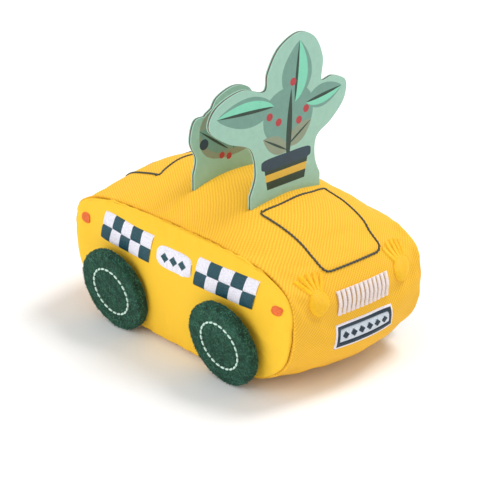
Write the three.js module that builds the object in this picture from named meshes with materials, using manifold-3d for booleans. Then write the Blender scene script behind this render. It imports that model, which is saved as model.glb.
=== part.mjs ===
// Soft toy car: a stuffed body sewn from cotton panels, felt disc wheels and two standing panels on the roof.
// Millimetres, +X to the car's front, +Y to its left, +Z up. It stands on z = 0, centred on the origin.
import * as THREE from 'three';
import { mergeVertices } from 'three/addons/utils/BufferGeometryUtils.js';
import Module from 'manifold-3d';

const wasm = await Module();
wasm.setup();

// Driving dimensions of the body
const seamHalfWidth = 37;
const sideBulge = 4.5;
const sideFullness = 2.6;
const crownFullness = 2;
const fabric = 1.2;
const seamGap = 0.3;
const stuffingGap = 0.8;
const waist = { x: 6.7, z: 38.4 };

// Side profiles, each four superellipse quarters round the waist point, with a fullness for each corner
const seamProfile = {
  front: 67.5, rear: 67.5, top: 57.4, bottom: 1.5,
  frontTop: 2.8, rearTop: 3, frontBottom: 3.1, rearBottom: 3.4,
};
const crownProfile = {
  front: 72, rear: 73.5, top: 71.8, bottom: -0.6,
  frontTop: 2, rearTop: 1.85, frontBottom: 3.4, rearBottom: 2.8,
};
const baseReach = 62;

// Wheels
const wheelRadius = 18.6;
const wheelThickness = 5;
const wheelEdgeRound = 1.6;
const wheelEdgeShare = 0.3;
const wheelBase = 68.4;
const wheelLean = 10.2;
const wheelGroundGap = 0.25;
const ringRadius = 10.8;
const ringWidth = 1;
const ringHeight = 0.8;
const ringStitches = 24;
const ringGroove = { depth: 0.5, width: 2.4 };

// Embroidery on the sides, placed by its centre
const seat = 0.3;
const thread = 0.6;
const padEdge = 0.6;
const padSquareness = { label: 4, indicator: 2.6, lamp: 2, ray: 3 };
const checkSquare = { x: 6.7, z: 6.5 };
const checkColumns = 5;
const checkRows = 2;
const checkLean = 3;
const checkOverlap = 0.25;
const bandHeight = 43.7;
const frontBandX = 31.5;
const rearBandX = -30;
const label = { x: 1.5, z: 43.3, length: 21, height: 9.8, lean: 0.5 };
const rearIndicator = { x: -59.5, z: 42, length: 4.4, height: 4.8, lean: 0 };
const frontIndicator = { x: 60, z: 41, length: 5.6, height: 4, lean: 1.4 };

// Embroidery on the strip, measured along its centre line from the nose, and across it
const lamp = { along: 4.8, seamDistance: 13.2, length: 10.4, width: 8.4 };
const lampRays = { count: 5, length: 10, width: 1.8, fan: 14, start: 4 };
const grille = { along: 1.5, length: 11, width: 29.6, bars: 12 };
const barHeights = [0.35, 1, 1, 0.35];
const plate = { along: -13.4, length: 9.7, width: 33, taper: 1.2, corner: 1.5 };
const plateBorder = 1;
const plateLine = 1.3;
const outlineWidth = 1.1;
const bonnetLine = { start: 15.8, end: 55, startHalf: 16.4, endHalf: 18.3, corner: 4 };
const rearLine = { start: 123, end: 152, startHalf: 18.5, endHalf: 15, corner: 4 };

// Standing panels: printed faces on a core, held in a slit of the roof by a sewn hem
const faceLayer = 0.6;
const coreLayer = 0.8;
const layerGap = 0.3;
const hemThickness = 2;
const hemDepth = 8;
const hingeRise = 1;
const tallPanel = {
  x: 23.8, halfWidth: 19.5,
  edge: [
    [16.5, 8], [17.5, 17], [26, 22], [33.5, 29], [34.5, 37], [27, 41], [20, 41], [20.5, 51], [15.5, 61],
    [6.5, 64.8], [-4, 60.5], [-10, 51.5], [-12, 44], [-24, 47.5], [-37, 43.5], [-41, 35], [-32, 27],
    [-19.5, 21], [-16.5, 9],
  ],
};
const lowPanel = {
  x: -8, halfWidth: 22,
  edge: [
    [20, 6], [23, 14], [21, 23], [13, 26.5], [8, 32], [0, 34], [-9, 31], [-13.5, 25], [-21, 24],
    [-23.5, 15], [-20.5, 7],
  ],
};

// Facets
const turns = 48;
const crownSteps = 8;
const bulgeSteps = 5;
const wheelTurns = 28;
const padSteps = [16, 2];
const raySteps = [10, 2];
const lineSteps = 48;
const baseSteps = 20;
const plateSteps = [12, 3];
const barSteps = 3;
const edgeSegments = 3;
const ridgeSegments = 6;

// Colours
const yellow = 0xf6bd2b;
const feltGreen = 0x1f5a45;
const mint = 0xd5f2e3;
const white = 0xf4f2fb;
const navy = 0x1b4b57;
const orange = 0xf0762f;
const lampYellow = 0xf0b41c;
const barPink = 0xf1dfde;
const plateBlue = 0xd9e1ea;
const plateNavy = 0x1e2f3c;
const lineGreen = 0x3b3f33;
const sageGreen = 0xa3c9b9;
const cutEdgeBrown = 0x6b6355;
const stuffingWhite = 0xf2f0ea;

// Values that follow from the driving dimensions
const panelThickness = 2 * (faceLayer + layerGap) + coreLayer;
const ridgeRadius = hemThickness / 2;
const panelLift = ridgeRadius + seat;
const lampAcross = seamHalfWidth - lamp.seamDistance;
const lean = THREE.MathUtils.degToRad(wheelLean);

// Point of a side profile on the ray at an angle from the waist, with the whole profile drawn in by an inset
function profilePoint(profile, angle, inset = 0) {
  const [c, s] = [Math.cos(angle), Math.sin(angle)];
  const reach = c > 0 ? profile.front - waist.x - inset : profile.rear + waist.x - inset;
  const rise = s > 0 ? profile.top - waist.z - inset : waist.z - profile.bottom - inset;
  const upper = c > 0 ? profile.frontTop : profile.rearTop;
  const lower = c > 0 ? profile.frontBottom : profile.rearBottom;
  const fullness = s > 0 ? upper : lower;
  const sum = Math.abs(c / reach) ** fullness + Math.abs(s / rise) ** fullness;
  const radius = sum ** (-1 / fullness);
  return [waist.x + radius * c, waist.z + radius * s];
}

// Share of the way from the waist to the seam at a point of the side
function seamShare(x, z) {
  const angle = Math.atan2(z - waist.z, x - waist.x);
  const [seamX, seamZ] = profilePoint(seamProfile, angle);
  return Math.hypot(x - waist.x, z - waist.z) / Math.hypot(seamX - waist.x, seamZ - waist.z);
}

// The strip round the body: it swells from the seam to the crown line at the middle
function stripPoint(angle, y, inset = 0) {
  const [seamX, seamZ] = profilePoint(seamProfile, angle, inset);
  const [crownX, crownZ] = profilePoint(crownProfile, angle, inset);
  const swell = 1 - Math.min(1, Math.abs(y / seamHalfWidth)) ** crownFullness;
  const x = seamX + (crownX - seamX) * swell;
  const z = seamZ + (crownZ - seamZ) * swell;
  return new THREE.Vector3(x, y, z);
}

// A side panel: a pillow over the seam's outline, with its rim in the plane of the seam
function sidePoint(side, angle, share, inset = 0, rim = seamHalfWidth + seamGap / 2) {
  const [seamX, seamZ] = profilePoint(seamProfile, angle, inset);
  const bulge = (sideBulge - inset) * (1 - share ** sideFullness);
  const x = waist.x + (seamX - waist.x) * share;
  const z = waist.z + (seamZ - waist.z) * share;
  return new THREE.Vector3(x, side * (rim + bulge), z);
}

// Distance out to the side panel over a point of the side
function sideReach(x, z) {
  const bulge = sideBulge * (1 - Math.min(1, seamShare(x, z)) ** sideFullness);
  return seamHalfWidth + seamGap / 2 + bulge;
}

// Lifts a point off a surface along the normal of that surface
function lifted(surface, u, v, height, step = 0.2) {
  const centre = surface(u, v);
  const alongU = surface(u + step, v).sub(surface(u - step, v));
  const alongV = surface(u, v + step).sub(surface(u, v - step));
  const normal = alongU.cross(alongV).normalize();
  const outward = new THREE.Vector3(centre.x - waist.x, centre.y, centre.z - waist.z);
  if (normal.dot(outward) < 0) normal.negate();
  return centre.addScaledVector(normal, height);
}

// Lengths along the strip's centre line from the nose, up over the roof and down under the chin
const lengthStep = THREE.MathUtils.degToRad(0.5);
function angleAlong(length) {
  const direction = Math.sign(length);
  let [angle, left] = [0, Math.abs(length)];
  let here = stripPoint(0, 0);
  while (left > 0) {
    const next = stripPoint(angle + direction * lengthStep, 0);
    const step = next.distanceTo(here);
    angle += direction * lengthStep * Math.min(1, left / step);
    left -= step;
    here = next;
  }
  return angle;
}
const onStrip = (along, across) => stripPoint(angleAlong(along), across);
const onSide = (side) => (x, z) => new THREE.Vector3(x, side * sideReach(x, z), z);

// Height of the roof's crown line at a place along the car
function roofHeight(x) {
  const reach = x > waist.x ? crownProfile.front - waist.x : crownProfile.rear + waist.x;
  const fullness = x > waist.x ? crownProfile.frontTop : crownProfile.rearTop;
  const share = Math.abs(x - waist.x) / reach;
  return waist.z + (crownProfile.top - waist.z) * (1 - share ** fullness) ** (1 / fullness);
}

// A closed mesh from loose triangles: shared corners are merged, empty triangles dropped, faces turned out
function closedGeometry(positions, indices) {
  const loose = new THREE.BufferGeometry();
  loose.setAttribute('position', new THREE.Float32BufferAttribute(positions, 3));
  loose.setIndex(indices);
  const merged = mergeVertices(loose, 1e-4);
  const corners = merged.getAttribute('position');
  const kept = [];
  let volume = 0;
  const [a, b, c] = [new THREE.Vector3(), new THREE.Vector3(), new THREE.Vector3()];
  for (let i = 0; i < merged.index.count; i += 3) {
    const [p, q, r] = [0, 1, 2].map((k) => merged.index.getX(i + k));
    if (p === q || q === r || r === p) continue;
    kept.push(p, q, r);
    volume += a.fromBufferAttribute(corners, p)
      .dot(b.fromBufferAttribute(corners, q).cross(c.fromBufferAttribute(corners, r)));
  }
  merged.setIndex(volume < 0 ? kept.reverse() : kept);
  return merged;
}

// A body between an outer and an inner surface over the same grid, with walls at the grid's open edges
function shellGeometry(uSteps, vSteps, outerAt, innerAt) {
  const positions = [];
  const indices = [];
  const columns = vSteps + 1;
  const innerStart = (uSteps + 1) * columns;
  for (const surface of [outerAt, innerAt]) {
    for (let i = 0; i <= uSteps; i += 1) {
      for (let j = 0; j <= vSteps; j += 1) positions.push(...surface(i / uSteps, j / vSteps).toArray());
    }
  }
  const quad = (p, q, r, s) => indices.push(p, q, r, p, r, s);
  for (let i = 0; i < uSteps; i += 1) {
    for (let j = 0; j < vSteps; j += 1) {
      const corner = i * columns + j;
      quad(corner, corner + columns, corner + columns + 1, corner + 1);
      const under = innerStart + corner;
      quad(under, under + 1, under + columns + 1, under + columns);
    }
    const [low, high] = [i * columns, i * columns + vSteps];
    quad(low, innerStart + low, innerStart + low + columns, low + columns);
    quad(high, high + columns, innerStart + high + columns, innerStart + high);
  }
  if (outerAt(0, 0.5).distanceTo(outerAt(1, 0.5)) > 1e-3) {
    const last = uSteps * columns;
    for (let j = 0; j < vSteps; j += 1) {
      quad(j, j + 1, innerStart + j + 1, innerStart + j);
      quad(last + j, innerStart + last + j, innerStart + last + j + 1, last + j + 1);
    }
  }
  return closedGeometry(positions, indices);
}

// A closed tube of four sides round a loop of points, with a width across the surface and a height off it
function ribbonGeometry(count, sectionAt) {
  const positions = [];
  const indices = [];
  for (let i = 0; i < count; i += 1) {
    for (const corner of sectionAt(i / count)) positions.push(...corner.toArray());
    const [here, next] = [4 * i, 4 * ((i + 1) % count)];
    for (let k = 0; k < 4; k += 1) {
      const [a, b] = [k, (k + 1) % 4];
      indices.push(here + a, here + b, next + b, here + a, next + b, next + a);
    }
  }
  return closedGeometry(positions, indices);
}

// Joins and cuts of closed meshes
function toSolid(geometry) {
  const bare = geometry.clone();
  bare.deleteAttribute('normal');
  bare.deleteAttribute('uv');
  const merged = mergeVertices(bare, 1e-4);
  const vertProperties = new Float32Array(merged.getAttribute('position').array);
  const triVerts = new Uint32Array(merged.index.array);
  return new wasm.Manifold(new wasm.Mesh({ numProp: 3, vertProperties, triVerts }));
}

function fromSolid(solid) {
  const mesh = solid.getMesh();
  const geometry = new THREE.BufferGeometry();
  geometry.setAttribute('position', new THREE.Float32BufferAttribute(mesh.vertProperties, 3));
  geometry.setIndex(Array.from(mesh.triVerts));
  return geometry;
}

function joined(geometries) {
  const solids = geometries.map(toSolid);
  return fromSolid(solids.reduce((sum, solid) => sum.add(solid)));
}

function cut(geometry, tools) {
  return fromSolid(tools.reduce((rest, tool) => rest.subtract(toSolid(tool)), toSolid(geometry)));
}

function boxBetween(low, high) {
  const box = new THREE.BoxGeometry(high[0] - low[0], high[1] - low[1], high[2] - low[2]);
  return box.translate((low[0] + high[0]) / 2, (low[1] + high[1]) / 2, (low[2] + high[2]) / 2);
}

// Body panels
const chinAngle = Math.atan2(crownProfile.bottom - waist.z, baseReach - waist.x);
const tailAngle = Math.atan2(crownProfile.bottom - waist.z, -baseReach - waist.x) + 2 * Math.PI;

function stripGeometry(from, to, steps) {
  const half = seamHalfWidth - seamGap / 2;
  const surfaceAt = (inset) => (u, v) => stripPoint(from + (to - from) * u, half * (2 * v - 1), inset);
  return shellGeometry(steps, crownSteps, surfaceAt(0), surfaceAt(fabric));
}

function sidePanelGeometry(side) {
  const surfaceAt = (inset) => (u, v) => sidePoint(side, 2 * Math.PI * u, v, inset);
  return shellGeometry(turns, bulgeSteps, surfaceAt(0), surfaceAt(fabric));
}

// Stuffing: the space inside the panels, as rings from one side's middle over the strip to the other's
function stuffingGeometry() {
  const inset = fabric + stuffingGap;
  const half = seamHalfWidth - seamGap / 2 - seat;
  const ringPoint = (angle, ring) => {
    if (ring <= bulgeSteps) return sidePoint(-1, angle, ring / bulgeSteps, inset, half);
    const left = ring - bulgeSteps - crownSteps;
    if (left >= 0) return sidePoint(1, angle, 1 - left / bulgeSteps, inset, half);
    return stripPoint(angle, half * (2 * (ring - bulgeSteps) / crownSteps - 1), inset);
  };
  const rings = 2 * bulgeSteps + crownSteps;
  const positions = [];
  const indices = [];
  for (let i = 0; i <= turns; i += 1) {
    for (let j = 0; j <= rings; j += 1) positions.push(...ringPoint(2 * Math.PI * i / turns, j).toArray());
  }
  for (let i = 0; i < turns; i += 1) {
    for (let j = 0; j < rings; j += 1) {
      const corner = i * (rings + 1) + j;
      const next = corner + rings + 1;
      indices.push(corner, next, next + 1, corner, next + 1, corner + 1);
    }
  }
  return closedGeometry(positions, indices);
}

// Standing panels
function panelShape(panel) {
  const shape = new THREE.Shape();
  shape.moveTo(-panel.halfWidth, 0);
  shape.lineTo(panel.halfWidth, 0);
  const edge = [...panel.edge, [-panel.halfWidth, 0]];
  shape.splineThru(edge.map(([across, up]) => new THREE.Vector2(across, up)));
  return shape;
}

const hingeHeight = (panel) => roofHeight(panel.x) + hingeRise;

function layerMesh(name, panel, start, thickness, colour, roughness) {
  const geometry = new THREE.ExtrudeGeometry(panelShape(panel), {
    depth: thickness, bevelEnabled: false, curveSegments: edgeSegments,
  });
  const mesh = meshOf(name, geometry, colour, roughness);
  mesh.rotation.set(Math.PI / 2, Math.PI / 2, 0);
  mesh.position.set(panel.x + start, 0, hingeHeight(panel) + panelLift);
  return mesh;
}

// Hem: a strip with a rounded top edge on the bending line
function hemGeometry(panel) {
  const shape = new THREE.Shape();
  shape.moveTo(-ridgeRadius, -hemDepth);
  shape.lineTo(ridgeRadius, -hemDepth);
  shape.lineTo(ridgeRadius, 0);
  shape.absarc(0, 0, ridgeRadius, 0, Math.PI, false);
  const length = 2 * panel.halfWidth;
  const geometry = new THREE.ExtrudeGeometry(shape, {
    depth: length, bevelEnabled: false, curveSegments: ridgeSegments,
  });
  geometry.translate(0, 0, -length / 2).rotateX(Math.PI / 2);
  return geometry.translate(panel.x, 0, hingeHeight(panel));
}

function slitBox(panel) {
  const half = ridgeRadius + seat;
  const reach = panel.halfWidth + seat;
  const low = [panel.x - half, -reach, hingeHeight(panel) - hemDepth - seat];
  return boxBetween(low, [panel.x + half, reach, hingeHeight(panel) + hemDepth]);
}

// Wheel: a felt disc with rounded edges and a shallow groove where the ring of stitches draws it in
function wheelGeometry() {
  const [r, t, e] = [wheelRadius, wheelThickness, wheelEdgeRound];
  const corner = wheelEdgeShare * e;
  const [inside, outside] = [ringRadius - ringGroove.width / 2, ringRadius + ringGroove.width / 2];
  const profile = [
    [0, 0], [r - e, 0], [r - corner, corner], [r, e], [r, t - e], [r - corner, t - corner], [r - e, t],
    [outside, t], [ringRadius + ringWidth / 2, t - ringGroove.depth],
    [ringRadius - ringWidth / 2, t - ringGroove.depth], [inside, t], [0, t],
  ];
  return new THREE.LatheGeometry(profile.map(([x, y]) => new THREE.Vector2(x, y)), wheelTurns);
}

// Ring of running stitch: the thread stands up in each stitch and dips between two of them
function stitchRingGeometry() {
  const floor = wheelThickness - ringGroove.depth + seat;
  const heights = [ringHeight / 3, ringHeight];
  const count = ringStitches * heights.length;
  return ribbonGeometry(count, (share) => {
    const angle = 2 * Math.PI * share;
    const top = floor + heights[Math.round(share * count) % heights.length];
    const corner = (radius, y) => new THREE.Vector3(radius * Math.cos(angle), y, radius * Math.sin(angle));
    const [near, far] = [ringRadius - ringWidth / 2, ringRadius + ringWidth / 2];
    return [corner(near, floor), corner(far, floor), corner(far, top), corner(near, top)];
  });
}

// How far out the side panel stands along the wheel's axis, over the whole of the wheel's inner face
function wheelSeat(x, z) {
  let reach = 0;
  for (let i = 0; i < turns; i += 1) {
    const angle = 2 * Math.PI * i / turns;
    for (let share = 0; share <= 1; share += 1 / bulgeSteps) {
      const across = wheelRadius * share * Math.cos(angle);
      const up = wheelRadius * share * Math.sin(angle);
      if (seamShare(x + across, z + up) > 1) continue;
      const out = sideReach(x + across, z + up);
      reach = Math.max(reach, out - up * Math.tan(lean));
    }
  }
  return reach + seat / Math.cos(lean);
}

// Embroidered pads
const embroideryBase = seat;
const embroideryTop = embroideryBase + thread;

// Rounded pad over an outline given by its half sizes and a squareness, crowned as satin stitch is
function padGeometry(surface, centre, halves, squareness, leanBy = 0, steps = padSteps) {
  const at = (share, angle) => {
    const [c, s] = [Math.cos(angle), Math.sin(angle)];
    const size = (Math.abs(c) ** squareness + Math.abs(s) ** squareness) ** (-1 / squareness) * share;
    const v = halves[1] * size * s;
    return [centre[0] + halves[0] * size * c + leanBy * v / halves[1], centre[1] + v];
  };
  const outer = (u, v) => {
    const [p, q] = at(v, 2 * Math.PI * u);
    return lifted(surface, p, q, embroideryBase + thread * (1 - (1 - padEdge) * v * v));
  };
  const inner = (u, v) => {
    const [p, q] = at(v, 2 * Math.PI * u);
    return lifted(surface, p, q, embroideryBase);
  };
  return shellGeometry(...steps, outer, inner);
}

// Flat patch between two corners of a grid, leaning forward as it rises
function patchGeometry(surface, low, high, steps, leanAt, base, height) {
  const at = (u, v) => {
    const q = low[1] + (high[1] - low[1]) * v;
    return [low[0] + (high[0] - low[0]) * u + leanAt(q), q];
  };
  const outer = (u, v) => lifted(surface, ...at(u, v), base + height);
  const inner = (u, v) => lifted(surface, ...at(u, v), base);
  return shellGeometry(steps[0], steps[1], outer, inner);
}

function checkGround(side, bandX) {
  const half = [checkColumns * checkSquare.x / 2, checkRows * checkSquare.z / 2];
  const low = [bandX - half[0], bandHeight - half[1]];
  const high = [bandX + half[0], bandHeight + half[1]];
  const leanAt = (z) => checkLean * (z - bandHeight) / (2 * half[1]);
  const steps = [2 * checkColumns, 2 * checkRows];
  return patchGeometry(onSide(side), low, high, steps, leanAt, embroideryBase, thread);
}

// Dark squares of a band, joined where their corners overlap
function checkSquares(side, bandX) {
  const half = [checkColumns * checkSquare.x / 2, checkRows * checkSquare.z / 2];
  const leanAt = (z) => checkLean * (z - bandHeight) / (2 * half[1]);
  const base = embroideryTop + seat;
  const squares = [];
  for (let row = 0; row < checkRows; row += 1) {
    for (let column = row % 2; column < checkColumns; column += 2) {
      const corner = [bandX - half[0] + column * checkSquare.x, bandHeight - half[1] + row * checkSquare.z];
      const low = corner.map((value) => value - checkOverlap);
      const high = [corner[0] + checkSquare.x + checkOverlap, corner[1] + checkSquare.z + checkOverlap];
      squares.push(patchGeometry(onSide(side), low, high, [2, 2], leanAt, base, thread));
    }
  }
  return joined(squares);
}

// Headlamp: an oval of satin stitch with short rays fanned over it
function lampGeometry(side) {
  const centre = [lamp.along, side * lampAcross];
  const pads = [padGeometry(onStrip, centre, [lamp.length / 2, lamp.width / 2], padSquareness.lamp)];
  for (let i = 0; i < lampRays.count; i += 1) {
    const turn = THREE.MathUtils.degToRad(lampRays.fan * (i - (lampRays.count - 1) / 2));
    const middle = lampRays.start + lampRays.length / 2;
    const turned = (p, q) => onStrip(
      centre[0] + p * Math.cos(turn) - q * Math.sin(turn),
      centre[1] + p * Math.sin(turn) + q * Math.cos(turn),
    );
    const halves = [lampRays.length / 2, lampRays.width / 2];
    pads.push(padGeometry(turned, [middle, 0], halves, padSquareness.ray, 0, raySteps));
  }
  return joined(pads);
}

// Grille: upright satin bars standing out of their ground
function grilleGeometry() {
  const places = barHeights.length;
  const at = (u, v) => [grille.along + grille.length * (v - 0.5), grille.width * (u - 0.5)];
  const outer = (u, v) => {
    const step = Math.round(u * grille.bars * places);
    return lifted(onStrip, ...at(u, v), embroideryBase + thread * barHeights[step % places]);
  };
  const inner = (u, v) => lifted(onStrip, ...at(u, v), embroideryBase);
  return shellGeometry(grille.bars * places, barSteps, outer, inner);
}

// Rounded outline on the strip, as a loop of places along and across it
function roundedLoop(line) {
  const shape = new THREE.Shape();
  const corners = [
    [line.start, -line.startHalf], [line.end, -line.endHalf],
    [line.end, line.endHalf], [line.start, line.startHalf],
  ].map((corner) => new THREE.Vector2(...corner));
  const towards = (corner, other) => other.clone().sub(corner).setLength(line.corner).add(corner);
  corners.forEach((corner, i) => {
    const before = towards(corner, corners[(i + 3) % 4]);
    const after = towards(corner, corners[(i + 1) % 4]);
    if (i === 0) shape.moveTo(before.x, before.y);
    else shape.lineTo(before.x, before.y);
    shape.quadraticCurveTo(corner.x, corner.y, after.x, after.y);
  });
  shape.closePath();
  return shape;
}

function lineGeometry(line, width, base, height) {
  const shape = roundedLoop(line);
  return ribbonGeometry(lineSteps, (share) => {
    const here = shape.getPointAt(share);
    const across = shape.getTangentAt(share).rotateAround(new THREE.Vector2(), Math.PI / 2);
    const [near, far] = [-0.5, 0.5].map((k) => here.clone().addScaledVector(across, k * width));
    const corner = (point, up) => lifted(onStrip, point.x, point.y, up);
    return [corner(near, base), corner(far, base), corner(far, base + height), corner(near, base + height)];
  });
}

// Number plate: a bare field inside a dark line on a white border
const plateOutline = (inset) => ({
  start: plate.along - plate.length / 2 + inset,
  end: plate.along + plate.length / 2 - inset,
  startHalf: plate.width / 2 - inset,
  endHalf: plate.width / 2 - plate.taper - inset,
  corner: plate.corner,
});

function plateFill(inset, base, height) {
  const outline = plateOutline(inset);
  const at = (u, v) => {
    const half = outline.startHalf + (outline.endHalf - outline.startHalf) * v;
    return [outline.start + (outline.end - outline.start) * v, half * (2 * u - 1)];
  };
  const outer = (u, v) => lifted(onStrip, ...at(u, v), base + height);
  const inner = (u, v) => lifted(onStrip, ...at(u, v), base);
  return shellGeometry(...plateSteps, outer, inner);
}

// Assembly
function meshOf(name, geometry, color, roughness) {
  const mesh = new THREE.Mesh(geometry, new THREE.MeshStandardMaterial({ color, roughness, metalness: 0 }));
  mesh.name = name;
  return mesh;
}

const car = new THREE.Group();
const panels = { tall: tallPanel, low: lowPanel };
const slits = Object.values(panels).map(slitBox);
const ground = boxBetween(
  [-crownProfile.rear, -seamHalfWidth, -hemDepth], [crownProfile.front, seamHalfWidth, 0],
);
const stripBreak = seamGap / (waist.z - crownProfile.bottom);

// Stuffed body
const stuffingFloor = ground.clone().translate(0, 0, fabric + stuffingGap);
car.add(meshOf('stuffing', cut(stuffingGeometry(), [...slits, stuffingFloor]), stuffingWhite, 0.95));
car.add(meshOf('top_strip', cut(stripGeometry(chinAngle, tailAngle, turns), slits), yellow, 0.9));
const baseShell = stripGeometry(tailAngle + stripBreak, chinAngle + 2 * Math.PI - stripBreak, baseSteps);
car.add(meshOf('base_panel', cut(baseShell, [ground]), yellow, 0.9));

// Both sides, each with its panel, wheels and embroidery
for (const [sideName, side] of [['right', -1], ['left', 1]]) {
  car.add(meshOf(`${sideName}_side_panel`, sidePanelGeometry(side), yellow, 0.9));
  const labelHalves = [label.length / 2, label.height / 2];
  const labelPad = padGeometry(
    onSide(side), [label.x, label.z], labelHalves, padSquareness.label, label.lean,
  );
  car.add(meshOf(`${sideName}_label`, labelPad, white, 0.6));
  const ends = [['front', 1, frontBandX, frontIndicator], ['rear', -1, rearBandX, rearIndicator]];
  for (const [endName, end, bandX, indicator] of ends) {
    car.add(meshOf(`${sideName}_${endName}_check_ground`, checkGround(side, bandX), white, 0.6));
    car.add(meshOf(`${sideName}_${endName}_check_squares`, checkSquares(side, bandX), navy, 0.6));
    const halves = [indicator.length / 2, indicator.height / 2];
    const indicatorPad = padGeometry(
      onSide(side), [indicator.x, indicator.z], halves, padSquareness.indicator, indicator.lean,
    );
    car.add(meshOf(`${sideName}_${endName}_indicator`, indicatorPad, orange, 0.6));

    const wheel = new THREE.Group();
    const x = end * wheelBase / 2;
    const lowEdge = wheelThickness - wheelEdgeRound;
    const z = wheelGroundGap + wheelRadius * Math.cos(lean) + lowEdge * Math.sin(lean);
    wheel.position.set(x, side * wheelSeat(x, z), z);
    wheel.rotation.x = side < 0 ? Math.PI + lean : -lean;
    wheel.add(meshOf(`${sideName}_${endName}_wheel`, wheelGeometry(), feltGreen, 1));
    wheel.add(meshOf(`${sideName}_${endName}_wheel_stitches`, stitchRingGeometry(), mint, 0.7));
    car.add(wheel);
  }
  car.add(meshOf(`${sideName}_headlamp`, lampGeometry(side), lampYellow, 0.55));
}

// Front and roof embroidery
car.add(meshOf('grille', grilleGeometry(), barPink, 0.6));
const plateRaised = embroideryTop + seat;
car.add(meshOf('plate_border', plateFill(0, embroideryBase, thread), white, 0.6));
const plateMiddle = plateOutline(plateBorder + plateLine / 2);
car.add(meshOf('plate_line', lineGeometry(plateMiddle, plateLine, plateRaised, thread), plateNavy, 0.6));
const plateField = plateFill(plateBorder + plateLine + seat, plateRaised, thread / 2);
car.add(meshOf('plate_field', plateField, plateBlue, 0.6));
for (const [name, line] of [['bonnet_line', bonnetLine], ['rear_line', rearLine]]) {
  car.add(meshOf(name, lineGeometry(line, outlineWidth, embroideryBase, thread), lineGreen, 0.8));
}

// Standing panels with their hems
for (const [name, panel] of Object.entries(panels)) {
  const back = -panelThickness / 2;
  const middle = back + faceLayer + layerGap;
  const front = middle + coreLayer + layerGap;
  car.add(meshOf(`${name}_panel_hem`, hemGeometry(panel), sageGreen, 0.5));
  car.add(layerMesh(`${name}_panel_back_face`, panel, back, faceLayer, sageGreen, 0.5));
  car.add(layerMesh(`${name}_panel_core`, panel, middle, coreLayer, cutEdgeBrown, 0.8));
  car.add(layerMesh(`${name}_panel_front_face`, panel, front, faceLayer, sageGreen, 0.5));
}

export default car;
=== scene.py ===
"""Looks of the soft toy car: sewn cotton, felt wheels, embroidery and two printed standing panels."""

import logging
import math
from dataclasses import dataclass, field
from enum import Enum
from typing import Callable, Iterable, Sequence

import bpy
import numpy as np
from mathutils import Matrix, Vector, noise
from mathutils.bvhtree import BVHTree
from mathutils.geometry import delaunay_2d_cdt

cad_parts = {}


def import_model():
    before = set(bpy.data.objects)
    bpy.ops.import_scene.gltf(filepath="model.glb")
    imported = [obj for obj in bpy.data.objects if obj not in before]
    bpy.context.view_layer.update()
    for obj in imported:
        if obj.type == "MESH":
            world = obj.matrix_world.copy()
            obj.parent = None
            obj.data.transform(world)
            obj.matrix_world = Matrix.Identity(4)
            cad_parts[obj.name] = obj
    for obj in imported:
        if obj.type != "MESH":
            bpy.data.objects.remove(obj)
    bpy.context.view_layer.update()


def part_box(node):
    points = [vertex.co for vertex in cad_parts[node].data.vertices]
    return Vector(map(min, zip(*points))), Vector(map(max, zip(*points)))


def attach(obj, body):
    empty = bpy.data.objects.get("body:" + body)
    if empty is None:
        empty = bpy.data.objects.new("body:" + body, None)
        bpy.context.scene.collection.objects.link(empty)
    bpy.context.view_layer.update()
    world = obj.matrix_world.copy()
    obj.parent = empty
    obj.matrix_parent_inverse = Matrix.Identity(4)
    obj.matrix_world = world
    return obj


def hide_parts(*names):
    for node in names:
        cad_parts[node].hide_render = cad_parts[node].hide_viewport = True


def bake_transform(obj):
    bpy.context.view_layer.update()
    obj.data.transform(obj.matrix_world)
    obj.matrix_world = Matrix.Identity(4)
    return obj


LOG = logging.getLogger("soft_toy_car")
MM = 0.001
TAU = 2 * math.pi
# A band texture repeats every pi / 10 of its own units
WAVE_UNIT = math.pi / 10
WEAVE = "weave"
LIFT = "lift"
BODY = "car_body"
# Lowest height of cloth and felt, so that nothing sinks in the floor
GROUND_MM = 0.02
# Place along the car and half width of each slit in the roof
TALL_SLIT = (23.8, 19.5)
LOW_SLIT = (-8.0, 22.0)

Surface = Callable[[np.ndarray, np.ndarray], np.ndarray]


class Whereabouts(Enum):
    """A side or an end of the car."""

    @property
    def word(self) -> str:
        """Its name as the nodes have it."""
        return self.name.lower()


class Side(Whereabouts):
    """Side of the car, with the sign of its Y."""

    RIGHT = -1
    LEFT = 1


class End(Whereabouts):
    """End of the car, with the sign of its X."""

    FRONT = 1
    REAR = -1


def linear(colour: str) -> tuple[float, float, float, float]:
    """Turns an sRGB hex colour to linear light.

    Args:
        colour: Hex value such as "#fccb33".

    Returns:
        Linear red, green, blue and an alpha of 1.
    """
    channels = [int(colour[i:i + 2], 16) / 255 for i in (1, 3, 5)]
    lit = [c / 12.92 if c <= 0.04045 else ((c + 0.055) / 1.055) ** 2.4 for c in channels]
    return (lit[0], lit[1], lit[2], 1.0)


def add_node(tree: bpy.types.NodeTree, kind: str, inputs: dict | None = None, **settings) -> bpy.types.Node:
    """Adds a node with its settings, its values and its links.

    Args:
        tree: Node tree that takes the node.
        kind: Type name of the node.
        inputs: Value or source of each input, by name or index; a node stands for its first output.
        **settings: Properties of the node.

    Returns:
        The new node.
    """
    node = tree.nodes.new(kind)
    for name, value in settings.items():
        setattr(node, name, value)
    for key, value in (inputs or {}).items():
        source = value.outputs[0] if isinstance(value, bpy.types.Node) else value
        if isinstance(source, bpy.types.NodeSocket):
            tree.links.new(source, node.inputs[key])
        else:
            node.inputs[key].default_value = source
    return node


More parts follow.
